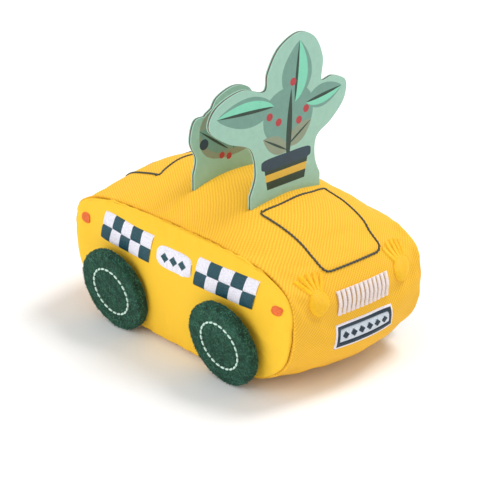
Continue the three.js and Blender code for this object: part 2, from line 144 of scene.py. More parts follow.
@dataclass(frozen=True)
class Finish:
    """A finish that gives one material, made once."""

    name: str
    colour: str
    shade: str
    roughness: float = 0.85
    sheen: float = 0.15
    sheen_roughness: float = 0.5
    mottle_mm: float = 1.2
    relief_strength: float = 0.0
    relief_mm: float = 0.0

    def material(self) -> bpy.types.Material:
        """Makes the material, or finds it.

        Returns:
            The material of this finish.
        """
        found = bpy.data.materials.get(self.name)
        if found:
            return found
        material = bpy.data.materials.new(self.name)
        material.use_nodes = True
        material.diffuse_color = linear(self.colour)
        tree = material.node_tree
        shader = tree.nodes["Principled BSDF"]
        looks = {"Roughness": self.roughness, "Sheen Weight": self.sheen,
                 "Sheen Roughness": self.sheen_roughness, "Sheen Tint": linear(self.colour)}
        for name, value in looks.items():
            shader.inputs[name].default_value = value
        self.paint(tree, shader)
        return material

    def paint(self, tree: bpy.types.NodeTree, shader: bpy.types.Node) -> None:
        """Adds the pattern of the finish; a plain one has a faint mottle of its shade.

        Args:
            tree: Node tree of the material.
            shader: Its shader.
        """
        place = add_node(tree, "ShaderNodeTexCoord")
        mottle = add_node(tree, "ShaderNodeTexNoise", {
            "Vector": place.outputs["Object"], "Scale": 1 / (self.mottle_mm * MM), "Detail": 3.0})
        self.dye(tree, shader, mottle.outputs["Fac"])

    def dye(self, tree: bpy.types.NodeTree, shader: bpy.types.Node, tone: bpy.types.NodeSocket,
            height: bpy.types.NodeSocket | None = None) -> None:
        """Colours the shader by a tone and raises its surface by a height.

        Args:
            tree: Node tree of the material.
            shader: Its shader.
            tone: Source of the tone, 0 for the shade and 1 for the full colour.
            height: Source of the height, where the finish has a relief.
        """
        dyed = add_node(tree, "ShaderNodeMix", {
            "Factor": tone, 6: linear(self.shade), 7: linear(self.colour)}, data_type="RGBA")
        tree.links.new(dyed.outputs[2], shader.inputs["Base Color"])
        if height:
            relief = add_node(tree, "ShaderNodeBump", {
                "Strength": self.relief_strength, "Distance": self.relief_mm * MM, "Height": height})
            tree.links.new(relief.outputs["Normal"], shader.inputs["Normal"])


@dataclass(frozen=True)
class CottonTwill(Finish):
    """Woven cotton twill: dyed yarns that lie in slanting ribs, matt, with a soft bloom at grazing light, and
    painted shade in the grooves between the ribs.
    """

    relief_strength: float = 0.6
    relief_mm: float = 0.12
    rib_mm: float = 1.15
    slant_deg: float = 48.0
    # Strength of the painted shade in the grooves between the ribs
    contrast: float = 0.55
    yarn_ratio: float = 0.8
    yarn_share: float = 0.3
    drift_mm: float = 0.9
    drifts_per_mm: float = 0.16
    lint_per_mm: float = 1.6
    lint_share: float = 0.3
    lint_floor: float = 0.85

    def paint(self, tree: bpy.types.NodeTree, shader: bpy.types.Node) -> None:
        """Draws ribs and the yarns that cross them, from a map of the cloth in millimetres, with painted
        shade in the grooves.

        Args:
            tree: Node tree of the material.
            shader: Its shader.
        """
        flat = add_node(tree, "ShaderNodeUVMap", uv_map=WEAVE)
        turned = add_node(tree, "ShaderNodeMapping", {
            "Vector": flat, "Rotation": (0.0, 0.0, math.radians(self.slant_deg))})
        drift = add_node(tree, "ShaderNodeTexNoise", {
            "Vector": flat, "Scale": self.drifts_per_mm, "Detail": 2.0})
        wander = add_node(tree, "ShaderNodeVectorMath", {
            0: drift.outputs["Color"], 1: (self.drift_mm, self.drift_mm, 0.0), 2: turned},
            operation="MULTIPLY_ADD")
        rib = add_node(tree, "ShaderNodeTexWave", {
            "Vector": wander, "Scale": WAVE_UNIT / self.rib_mm}, bands_direction="X")
        yarn = add_node(tree, "ShaderNodeTexWave", {
            "Vector": wander, "Scale": WAVE_UNIT / (self.yarn_ratio * self.rib_mm), "Distortion": 1.5,
            "Detail": 1.0, "Detail Scale": 3.0}, bands_direction="Y")
        height = add_node(tree, "ShaderNodeMix", {
            "Factor": self.yarn_share, 2: rib.outputs["Fac"], 3: yarn.outputs["Fac"]})
        lint = add_node(tree, "ShaderNodeTexNoise", {
            "Vector": flat, "Scale": self.lint_per_mm, "Detail": 4.0})
        # Painted shade: the lower a point of the ribs, the nearer its colour comes to the shade colour
        depth = add_node(tree, "ShaderNodeMath", {
            0: height, 1: self.contrast, 2: 1 - self.contrast}, operation="MULTIPLY_ADD")
        rubbed = add_node(tree, "ShaderNodeMath", {
            0: lint.outputs["Fac"], 1: self.lint_share, 2: self.lint_floor}, operation="MULTIPLY_ADD")
        tone = add_node(tree, "ShaderNodeMath", {0: depth, 1: rubbed}, operation="MULTIPLY", use_clamp=True)
        self.dye(tree, shader, tone.outputs[0], height.outputs[0])


@dataclass(frozen=True)
class NeedledFelt(Finish):
    """Needled wool felt: matted fibres, a rough matt face with paler fibres lying over a dark ground."""

    relief_strength: float = 0.8
    relief_mm: float = 0.35
    fibre_mm: float = 0.9
    clump_ratio: float = 4.0
    clump_share: float = 0.35
    darkest: float = 0.38
    palest: float = 0.62

    def paint(self, tree: bpy.types.NodeTree, shader: bpy.types.Node) -> None:
        """Draws tangled fibres as noise that is swirled, over soft clumps.

        Args:
            tree: Node tree of the material.
            shader: Its shader.
        """
        place = add_node(tree, "ShaderNodeTexCoord").outputs["Object"]
        fibres = add_node(tree, "ShaderNodeTexNoise", {
            "Vector": place, "Scale": 1 / (self.fibre_mm * MM), "Detail": 5.0,
            "Roughness": 0.65, "Distortion": 1.6})
        clumps = add_node(tree, "ShaderNodeTexNoise", {
            "Vector": place, "Scale": 1 / (self.clump_ratio * self.fibre_mm * MM), "Detail": 2.0})
        both = add_node(tree, "ShaderNodeMix", {
            "Factor": self.clump_share, 2: fibres.outputs["Fac"], 3: clumps.outputs["Fac"]})
        spread = add_node(tree, "ShaderNodeMapRange", {
            "Value": both, "From Min": self.darkest, "From Max": self.palest})
        self.dye(tree, shader, spread.outputs[0], both.outputs[0])


@dataclass(frozen=True)
class SatinThread(Finish):
    """Polyester embroidery thread: smooth strands side by side, with a soft silky gloss."""

    roughness: float = 0.42
    sheen: float = 0.2
    relief_strength: float = 0.35
    relief_mm: float = 0.08
    strand_mm: float = 0.5
    darkest: float = 0.3
    palest: float = 0.6

    def paint(self, tree: bpy.types.NodeTree, shader: bpy.types.Node) -> None:
        """Varies the tone from strand to strand.

        Args:
            tree: Node tree of the material.
            shader: Its shader.
        """
        place = add_node(tree, "ShaderNodeTexCoord")
        tone = add_node(tree, "ShaderNodeTexNoise", {
            "Vector": place.outputs["Object"], "Scale": 1 / (self.strand_mm * MM), "Detail": 2.0})
        spread = add_node(tree, "ShaderNodeMapRange", {
            "Value": tone.outputs["Fac"], "From Min": self.darkest, "From Max": self.palest})
        self.dye(tree, shader, spread.outputs[0], tone.outputs["Fac"])


@dataclass(frozen=True)
class PrintedCloth(Finish):
    """Ink on laminated polyester cloth: a low satin gloss, a fine weave and a slightly uneven cover."""

    roughness: float = 0.5
    sheen: float = 0.05
    relief_strength: float = 0.25
    relief_mm: float = 0.05
    thread_mm: float = 0.6
    cover_mm: float = 3.5

    def paint(self, tree: bpy.types.NodeTree, shader: bpy.types.Node) -> None:
        """Draws the weave, coarser than it is so that it shows, and the cover of the ink.

        Args:
            tree: Node tree of the material.
            shader: Its shader.
        """
        place = add_node(tree, "ShaderNodeTexCoord").outputs["Object"]
        cover = add_node(tree, "ShaderNodeTexNoise", {
            "Vector": place, "Scale": 1 / (self.cover_mm * MM), "Detail": 6.0, "Roughness": 0.7})
        threads = [add_node(tree, "ShaderNodeTexWave", {
            "Vector": place, "Scale": WAVE_UNIT / (self.thread_mm * MM)}, bands_direction=axis)
            for axis in ("Y", "Z")]
        weave = add_node(tree, "ShaderNodeMath", {
            0: threads[0].outputs["Fac"], 1: threads[1].outputs["Fac"]}, operation="ADD")
        self.dye(tree, shader, cover.outputs["Fac"], weave.outputs[0])


# Painted shade: the strip's twill has a deeper orange shade and a stronger groove shade than the side's, so
# that the front reads darker than the brightly lit side
STRIP_COTTON = CottonTwill("cotton_twill_strip", "#f9c633", "#d8890a", contrast=0.62)
SIDE_COTTON = CottonTwill(
    "cotton_twill_side", "#f7c72d", "#e9a414", rib_mm=0.8, contrast=0.25, relief_mm=0.03)
WHEEL_FELT = NeedledFelt("needled_felt_green", "#1e5440", "#051d14", roughness=1.0, sheen=0.2)
FELT_FIBRE = NeedledFelt("felt_fibre_green", "#57947c", "#0c3324", roughness=1.0, sheen=0.2, fibre_mm=1.6)
RING_THREAD = SatinThread("ring_thread_mint", "#dcf5e8", "#b4d8c8", roughness=0.6)
WHITE_THREAD = SatinThread("satin_thread_white", "#f6f4fc", "#dcdae6")
DARK_THREAD = SatinThread("satin_thread_teal", "#1d5562", "#0e3540")
ORANGE_THREAD = SatinThread("satin_thread_orange", "#f27a33", "#d95c1c")
LAMP_THREAD = SatinThread("satin_thread_gold", "#ffcd08", "#f6b900")
GRILLE_THREAD = SatinThread("satin_thread_pale", "#f6ebe8", "#e6d6d1")
GRILLE_GROUND = SatinThread("satin_thread_tan", "#c9a06a", "#ad8450", roughness=0.6)
PLATE_THREAD = SatinThread("satin_thread_navy", "#21394a", "#142530")
PLATE_FIELD = SatinThread("fill_thread_blue_white", "#dfe6ee", "#c3ced9", roughness=0.55)
LINE_THREAD = SatinThread("line_thread_dark", "#45493c", "#262a20", roughness=0.6)
CUT_EDGE = PrintedCloth("cut_edge_brown", "#6f6656", "#4a4338", roughness=0.8)


def link_mesh(name: str, mesh: bpy.types.Mesh) -> bpy.types.Object:
    """Puts a mesh in the scene as an object at the origin.

    Args:
        name: Name of the object.
        mesh: Its mesh.

    Returns:
        The object.
    """
    piece = bpy.data.objects.new(name, mesh)
    bpy.context.scene.collection.objects.link(piece)
    return piece


def make_mesh(name: str, points: np.ndarray, faces: Sequence, finishes: Sequence[Finish] = (),
              indices: Sequence[int] | None = None, edges: Sequence = ()) -> bpy.types.Object:
    """Makes a smooth mesh from points in millimetres.

    Args:
        name: Name of the piece.
        points: Corner places, in millimetres.
        faces: Corner numbers of each face.
        finishes: Finishes of the piece, in the order of its slots.
        indices: Slot of each face, where there are several.
        edges: Loose edges, where the mesh is a set of paths.

    Returns:
        The object, linked to the scene.
    """
    mesh = bpy.data.meshes.new(name)
    mesh.from_pydata((np.asarray(points) * MM).tolist(), [tuple(e) for e in edges], [tuple(f) for f in faces])
    for finish in finishes:
        mesh.materials.append(finish.material())
    if indices is not None:
        mesh.polygons.foreach_set("material_index", np.asarray(indices, dtype=np.int32))
    mesh.polygons.foreach_set("use_smooth", [True] * len(mesh.polygons))
    mesh.validate()
    mesh.update()
    return link_mesh(name, mesh)


def grid_faces(rows: int, columns: int, closed: bool = False) -> list[tuple[int, int, int, int]]:
    """Lists the faces of a grid of points, row by row.

    Args:
        rows: Number of rows of points.
        columns: Number of points in a row.
        closed: Whether the last column joins the first.

    Returns:
        Corner numbers of each face.
    """
    spans = columns if closed else columns - 1
    return [(r * columns + c, r * columns + (c + 1) % columns, (r + 1) * columns + (c + 1) % columns,
             (r + 1) * columns + c) for r in range(rows - 1) for c in range(spans)]


def joined(name: str, parts: Iterable[bpy.types.Object]) -> bpy.types.Object:
    """Joins objects into one piece of that name.

    Args:
        name: Name of the piece.
        parts: Objects at the origin; they are used up.

    Returns:
        The joined object.
    """
    parts = list(parts)
    with bpy.context.temp_override(active_object=parts[0], selected_editable_objects=parts):
        bpy.ops.object.join()
    parts[0].name = name
    parts[0].data.name = name
    return parts[0]


def face_outwards(piece: bpy.types.Object) -> None:
    """Turns the faces of a closed mesh so that they point outwards.

    Args:
        piece: Object with the mesh.
    """
    mesh = piece.data
    points = np.array([v.co for v in mesh.vertices])
    volume = 0.0
    for face in mesh.polygons:
        a = points[face.vertices[0]]
        for i in range(1, len(face.vertices) - 1):
            volume += np.dot(a, np.cross(points[face.vertices[i]], points[face.vertices[i + 1]]))
    if volume < 0:
        mesh.flip_normals()


def run_length(path: np.ndarray) -> np.ndarray:
    """Gives the length along a path up to each of its points."""
    return np.concatenate([[0], np.cumsum(np.linalg.norm(np.diff(path, axis=0), axis=-1))])


def fade(value: np.ndarray, end: float, width: float) -> np.ndarray:
    """Falls from 1 to 0 over a width that ends at a value."""
    return np.clip((end - value) / width, 0, 1)


def box_middle(node: str) -> np.ndarray:
    """Gives the middle of a solid's box in millimetres."""
    low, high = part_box(node)
    return np.array(low + high) / 2 / MM


def settle_piece(piece: bpy.types.Object, slot: str, *nodes: str) -> None:
    """Rides a finished piece on the car's body in place of its solids.

    Args:
        piece: Finished piece.
        slot: Material slot of the record; not used.
        *nodes: Solids that it stands for.
    """
    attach(piece, BODY)
    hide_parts(*nodes)
    LOG.info("%s: %d faces", piece.name, len(piece.data.polygons))


class NodeTool:
    """A geometry-node tree that is run on a mesh and then made plain."""

    def __init__(self, name: str, **sizes: float) -> None:
        """Makes the tree with its named inputs.

        Args:
            name: Name of the tree.
            **sizes: Default value of each input, a whole number for a count.
        """
        self.tree = bpy.data.node_groups.new(name, "GeometryNodeTree")
        face = self.tree.interface
        face.new_socket("Geometry", in_out="INPUT", socket_type="NodeSocketGeometry")
        self.keys: dict[str, str] = {}
        for label, value in sizes.items():
            kind = "NodeSocketInt" if isinstance(value, int) else "NodeSocketFloat"
            socket = face.new_socket(label, in_out="INPUT", socket_type=kind)
            socket.default_value = value
            self.keys[label] = socket.identifier
        dress = face.new_socket("Material", in_out="INPUT", socket_type="NodeSocketMaterial")
        self.keys["Material"] = dress.identifier
        face.new_socket("Geometry", in_out="OUTPUT", socket_type="NodeSocketGeometry")
        self.source = add_node(self.tree, "NodeGroupInput").outputs
        self.build()

    def build(self) -> None:
        """Adds the nodes of the tree."""
        raise NotImplementedError

    def end(self, shape: bpy.types.Node) -> None:
        """Ends the tree: smooth, real and dressed.

        Args:
            shape: Node that gives the geometry.
        """
        smooth = add_node(self.tree, "GeometryNodeSetShadeSmooth", {"Geometry": shape})
        real = add_node(self.tree, "GeometryNodeRealizeInstances", {"Geometry": smooth})
        dressed = add_node(self.tree, "GeometryNodeSetMaterial", {
            "Geometry": real, "Material": self.source["Material"]})
        add_node(self.tree, "NodeGroupOutput", {0: dressed})

    def run(self, piece: bpy.types.Object, finish: Finish, **sizes: float) -> bpy.types.Object:
        """Runs the tree on an object and keeps the result as its plain mesh.

        Args:
            piece: Object that the tree works on.
            finish: Finish of the result.
            **sizes: Values of the inputs.

        Returns:
            The same object, with the new mesh.
        """
        modifier = piece.modifiers.new(self.tree.name, "NODES")
        modifier.node_group = self.tree
        modifier[self.keys["Material"]] = finish.material()
        for name, value in sizes.items():
            modifier[self.keys[name]] = value
        made = bpy.data.meshes.new_from_object(piece.evaluated_get(bpy.context.evaluated_depsgraph_get()))
        piece.modifiers.remove(modifier)
        old = piece.data
        piece.data = made
        made.name = piece.name
        bpy.data.meshes.remove(old)
        return piece


class StrandTool(NodeTool):
    """Makes a round strand of thread along each path."""

    def __init__(self) -> None:
        """Names the sizes of a strand."""
        super().__init__("lay_strands", Radius=0.27 * MM, Sides=6)

    def build(self) -> None:
        """Sweeps a small circle along the paths."""
        paths = add_node(self.tree, "GeometryNodeMeshToCurve", {"Mesh": self.source["Geometry"]})
        ring = add_node(self.tree, "GeometryNodeCurvePrimitiveCircle", {
            "Resolution": self.source["Sides"], "Radius": self.source["Radius"]})
        self.end(add_node(self.tree, "GeometryNodeCurveToMesh", {
            "Curve": paths, "Profile Curve": ring, "Fill Caps": True}))


class StitchTool(NodeTool):
    """Sets stitches of equal length along a path, each turned to the path and to the cloth."""

    bluntness = 1.35

    def __init__(self) -> None:
        """Names the sizes of the stitching."""
        super().__init__("set_stitches", Count=24, Length=2 * MM, Radius=0.4 * MM, Slant=0.0)

    def build(self) -> None:
        """Puts a rod with rounded ends on each of evenly spaced points."""
        tree, source = self.tree, self.source
        path = add_node(tree, "GeometryNodeMeshToCurve", {"Mesh": source["Geometry"]})
        even = add_node(tree, "GeometryNodeResampleCurve", {"Curve": path, "Count": source["Count"]})
        ball = add_node(tree, "GeometryNodeMeshUVSphere", {"Segments": 8, "Rings": 8, "Radius": 1.0})
        lying = add_node(tree, "GeometryNodeTransform", {
            "Geometry": ball, "Rotation": (0.0, math.pi / 2, 0.0)})
        spot = add_node(tree, "GeometryNodeInputPosition")
        part = add_node(tree, "ShaderNodeSeparateXYZ", {0: spot}).outputs
        long = add_node(tree, "ShaderNodeMath", {0: part["X"], 1: self.bluntness}, operation="MULTIPLY")
        blunt = add_node(tree, "ShaderNodeClamp", {"Value": long, "Min": -1.0, "Max": 1.0})
        rod = add_node(tree, "ShaderNodeCombineXYZ", {"X": blunt, "Y": part["Y"], "Z": part["Z"]})
        shaped = add_node(tree, "GeometryNodeSetPosition", {"Geometry": lying, "Position": rod})
        half = add_node(tree, "ShaderNodeMath", {0: source["Length"], 1: 0.5}, operation="MULTIPLY")
        size = add_node(tree, "ShaderNodeCombineXYZ", {
            "X": half, "Y": source["Radius"], "Z": source["Radius"]})
        stitch = add_node(tree, "GeometryNodeTransform", {"Geometry": shaped, "Scale": size})
        tangent = add_node(tree, "GeometryNodeInputTangent")
        lift = add_node(tree, "GeometryNodeInputNamedAttribute", {"Name": LIFT}, data_type="FLOAT_VECTOR")
        along = add_node(tree, "FunctionNodeAlignRotationToVector", {"Vector": tangent}, axis="X")
        upright = add_node(tree, "FunctionNodeAlignRotationToVector", {
            "Rotation": along, "Vector": lift}, axis="Z", pivot_axis="X")
        turn = add_node(tree, "ShaderNodeCombineXYZ", {"Z": source["Slant"]})
        slanted = add_node(tree, "FunctionNodeRotateRotation", {
            "Rotation": upright, "Rotate By": turn}, rotation_space="LOCAL")
        self.end(add_node(tree, "GeometryNodeInstanceOnPoints", {
            "Points": even, "Instance": stitch, "Rotation": slanted}))

    def sew(self, name: str, places: np.ndarray, lifts: np.ndarray, finish: Finish,
            **sizes: float) -> bpy.types.Object:
        """Sets stitches along a closed path.

        Args:
            name: Name of the piece.
            places: Points of the path in millimetres.
            lifts: Direction off the cloth at each point.
            finish: Finish of the thread.
            **sizes: Values of the inputs.

        Returns:
            The stitches.
        """
        count = len(places)
        piece = make_mesh(name, places, [], edges=[(i, (i + 1) % count) for i in range(count)])
        mark = piece.data.attributes.new(LIFT, "FLOAT_VECTOR", "POINT")
        mark.data.foreach_set("vector", lifts.ravel())
        return self.run(piece, finish, **sizes)


class FibreTool(NodeTool):
    """Lays loose bent fibres all over a felt surface."""

    sag = (0.35, 0.0, 0.5)
    tilt_deg = (74.0, 90.0)

    def __init__(self) -> None:
        """Names the sizes of the fibres."""
        super().__init__("lay_fibres", Density=400000.0, Length=1.6 * MM, Radius=0.05 * MM, Seed=1)

    def build(self) -> None:
        """Scatters a bent hair over the surface, tilted and turned at random."""
        tree, source = self.tree, self.source
        spots = add_node(tree, "GeometryNodeDistributePointsOnFaces", {
            "Mesh": source["Geometry"], "Density": source["Density"], "Seed": source["Seed"]})
        middle, tip = [add_node(tree, "ShaderNodeVectorMath", {
            0: way, "Scale": source["Length"]}, operation="SCALE") for way in (self.sag, (0.0, 0.0, 1.0))]
        hair = add_node(tree, "GeometryNodeCurveQuadraticBezier", {
            "Resolution": 3, "Start": (0.0, 0.0, 0.0), "Middle": middle, "End": tip})
        ring = add_node(tree, "GeometryNodeCurvePrimitiveCircle", {
            "Resolution": 3, "Radius": source["Radius"]})
        fibre = add_node(tree, "GeometryNodeCurveToMesh", {
            "Curve": hair, "Profile Curve": ring, "Fill Caps": True})
        low, high = (math.radians(angle) for angle in self.tilt_deg)
        tilt = add_node(tree, "FunctionNodeRandomValue", {
            0: (low, 0.0, -math.pi), 1: (high, 0.0, math.pi), "Seed": source["Seed"]},
            data_type="FLOAT_VECTOR")
        spin = add_node(tree, "ShaderNodeSeparateXYZ", {0: tilt}).outputs
        around = add_node(tree, "ShaderNodeCombineXYZ", {"Z": spin["Z"]})
        lean = add_node(tree, "ShaderNodeCombineXYZ", {"X": spin["X"]})
        turned = add_node(tree, "FunctionNodeRotateRotation", {
            "Rotation": spots.outputs["Rotation"], "Rotate By": around}, rotation_space="LOCAL")
        laid = add_node(tree, "FunctionNodeRotateRotation", {
            "Rotation": turned, "Rotate By": lean}, rotation_space="LOCAL")
        self.end(add_node(tree, "GeometryNodeInstanceOnPoints", {
            "Points": spots, "Instance": fibre, "Rotation": laid}))


@dataclass
class Tools:
    """The node tools of the scene."""

    strands: StrandTool = field(default_factory=StrandTool)
    stitches: StitchTool = field(default_factory=StitchTool)
    fibres: FibreTool = field(default_factory=FibreTool)


@dataclass(frozen=True)
class Profile:
    """Side profile of four rounded quarters, each with its own fullness, in millimetres."""

    front: float
    rear: float
    top: float
    bottom: float
    front_top: float
    rear_top: float
    front_bottom: float
    rear_bottom: float


@dataclass(frozen=True)
class BodyShape:
    """Form of the sewn body in millimetres, as the solids have it."""

    seam_half: float = 37.0
    seam_gap: float = 0.3
    side_bulge: float = 4.5
    side_fullness: float = 2.6
    crown_fullness: float = 2.0
    waist_x: float = 6.7
    waist_z: float = 38.4
    base_reach: float = 62.0
    seam: Profile = Profile(
        front=67.5, rear=67.5, top=57.4, bottom=1.5, front_top=2.8, rear_top=3.0, front_bottom=3.1,
        rear_bottom=3.4)
    crown: Profile = Profile(
        front=72.0, rear=73.5, top=71.8, bottom=-0.6, front_top=2.0, rear_top=1.85, front_bottom=3.4,
        rear_bottom=2.8)
    # Angles between which the strip and the roof are looked up
    strip_span: tuple[float, float] = (-1.3, 4.4)
    roof_span: tuple[float, float] = (0.05, math.pi - 0.05)
    table_size: int = 6000

    @property
    def centre(self) -> np.ndarray:
        """Middle of the body, which its cloth faces away from."""
        return np.array([self.waist_x, 0.0, self.waist_z])

    @property
    def chin_angle(self) -> float:
        """Angle of the seam under the front, from the waist."""
        return math.atan2(self.crown.bottom - self.waist_z, self.base_reach - self.waist_x)

    @property
    def tail_angle(self) -> float:
        """Angle of the seam under the rear, from the waist."""
        return math.atan2(self.crown.bottom - self.waist_z, -self.base_reach - self.waist_x) + TAU

    def outline(self, profile: Profile, angle: np.ndarray) -> np.ndarray:
        """Gives the X and Z of a side profile at angles round the waist.

        Args:
            profile: Side profile.
            angle: Angles from the nose, up over the roof.

        Returns:
            X and Z of each point.
        """
        c, s = np.cos(angle), np.sin(angle)
        reach = np.where(c > 0, profile.front - self.waist_x, profile.rear + self.waist_x)
        rise = np.where(s > 0, profile.top - self.waist_z, self.waist_z - profile.bottom)
        upper = np.where(c > 0, profile.front_top, profile.rear_top)
        lower = np.where(c > 0, profile.front_bottom, profile.rear_bottom)
        fullness = np.where(s > 0, upper, lower)
        radius = (np.abs(c / reach) ** fullness + np.abs(s / rise) ** fullness) ** (-1 / fullness)
        return np.stack([self.waist_x + radius * c, self.waist_z + radius * s], axis=-1)

    def strip_point(self, angle: np.ndarray, across: np.ndarray) -> np.ndarray:
        """Gives points of the strip that runs round the body between the seams.

        Args:
            angle: Angles from the nose, up over the roof.
            across: Places across the body.

        Returns:
            Points in millimetres.
        """
        seam, crown = self.outline(self.seam, angle), self.outline(self.crown, angle)
        swell = 1 - np.minimum(1, np.abs(across / self.seam_half)) ** self.crown_fullness
        place = seam + (crown - seam) * swell[..., None]
        return np.stack([place[..., 0], across, place[..., 1]], axis=-1)

    def side_point(self, side: Side, angle: np.ndarray, share: np.ndarray) -> np.ndarray:
        """Gives points of a side panel, by their share of the way from the waist to the seam.

        Args:
            side: Side of the car.
            angle: Angles from the nose, up over the roof.
            share: Shares of the way.

        Returns:
            Points in millimetres.
        """
        seam = self.outline(self.seam, angle)
        out = self.seam_half + self.seam_gap / 2 + self.side_bulge * (1 - share ** self.side_fullness)
        x = self.waist_x + (seam[..., 0] - self.waist_x) * share
        z = self.waist_z + (seam[..., 1] - self.waist_z) * share
        return np.stack([x, side.value * out, z], axis=-1)

    def on_side(self, side: Side) -> Surface:
        """Gives the surface of a side panel as a function of X and Z.

        Args:
            side: Side of the car.

        Returns:
            The surface.
        """
        def surface(x: np.ndarray, z: np.ndarray) -> np.ndarray:
            """Finds the point of the side over X and Z.

            Args:
                x: Places along the car.
                z: Heights.

            Returns:
                Points in millimetres.
            """
            angle = np.arctan2(z - self.waist_z, x - self.waist_x)
            seam = self.outline(self.seam, angle)
            far = np.hypot(seam[..., 0] - self.waist_x, seam[..., 1] - self.waist_z)
            share = np.minimum(1, np.hypot(x - self.waist_x, z - self.waist_z) / far)
            return self.side_point(side, angle, share)
        return surface

    def on_strip(self) -> Surface:
        """Gives the surface of the strip as a function of the length along its crown and the place across.

        Returns:
            The surface.
        """
        angles = np.linspace(*self.strip_span, self.table_size)
        lengths = run_length(self.outline(self.crown, angles))
        lengths -= np.interp(0, angles, lengths)
        return lambda along, across: self.strip_point(np.interp(along, lengths, angles), across)

    def roof_height(self, x: float, across: np.ndarray) -> np.ndarray:
        """Gives the height of the strip's top at a place along the car, across it.

        Args:
            x: Place along the car.
            across: Places across it.

        Returns:
            Heights.
        """
        angles = np.linspace(*self.roof_span, self.table_size // 2)
        heights = []
        for y in np.atleast_1d(across):
            line = self.strip_point(angles, np.full_like(angles, y))
            heights.append(np.interp(-x, -line[:, 0], line[:, 2]))
        return np.array(heights)


@dataclass(frozen=True)
class Unevenness:
    """Smooth lumps of one size in millimetres, the same on each run."""

    size: float
    seed: float
    depth: float

    def at(self, points: np.ndarray) -> np.ndarray:
        """Gives the height of the lumps at points, up to about their depth either way.

        Args:
            points: Points in millimetres.

        Returns:
            Height at each point.
        """
        shift = Vector((self.seed, 2 * self.seed, -self.seed))
        heights = [noise.noise(Vector(p) / self.size + shift) for p in points.reshape(-1, 3)]
        return self.depth * np.array(heights).reshape(points.shape[:-1])


@dataclass
class Cloth:
    """The sewn cloth as it ends up, on which embroidery is laid."""

    tree: BVHTree
    centre: np.ndarray
    reach_mm: float = 9.0
    step_mm: float = 0.2

    def lay(self, surface: Surface, u: np.ndarray, v: np.ndarray,
            height: np.ndarray | float) -> tuple[np.ndarray, np.ndarray]:
        """Lays points of a plain surface on the cloth.

        Args:
            surface: Plain surface.
            u: First place on it.
            v: Second place on it.
            height: Height over the cloth.

        Returns:
            Points in millimetres, and the directions off the cloth.
        """
        step = self.step_mm
        middle = surface(u, v)
        normal = np.cross(surface(u + step, v) - surface(u - step, v),
                          surface(u, v + step) - surface(u, v - step))
        normal /= np.linalg.norm(normal, axis=-1, keepdims=True)
        normal *= np.sign(np.sum(normal * (middle - self.centre), axis=-1, keepdims=True))
        height = np.broadcast_to(height, u.shape)
        places = np.empty_like(middle)
        for i in np.ndindex(u.shape):
            start = Vector((middle[i] + normal[i] * self.reach_mm) * MM)
            hit = self.tree.ray_cast(start, -Vector(normal[i]), 2 * self.reach_mm * MM)[0]
            places[i] = (np.array(hit) / MM if hit is not None else middle[i]) + normal[i] * height[i]
        return places, normal


@dataclass(frozen=True)
class Filling:
    """The coarse bag that is filled: its counts, its cloth, and how far it may move in millimetres."""

    # Rings of a side, rows of the strip, and columns of the strip and of the base
    counts: tuple[int, int, int, int] = (13, 23, 100, 41)
    frames: int = 20
    pressure: float = 2.0
    ease: float = 0.02
    quality: int = 6
    stretch: float = 40.0
    shear: float = 20.0
    bend: float = 0.3
    cap: float = 1.4
    smoothing: int = 4
    still_share: float = 0.3
    still_fade: float = 0.4

    def settings(self) -> dict[str, object]:
        """Gives the settings of the bag's cloth by name.

        Returns:
            Value of each setting.
        """
        return {
            "quality": self.quality, "tension_stiffness": self.stretch, "compression_stiffness": self.stretch,
            "shear_stiffness": self.shear, "bending_stiffness": self.bend, "shrink_min": -self.ease,
            "use_pressure": True, "uniform_pressure_force": self.pressure}


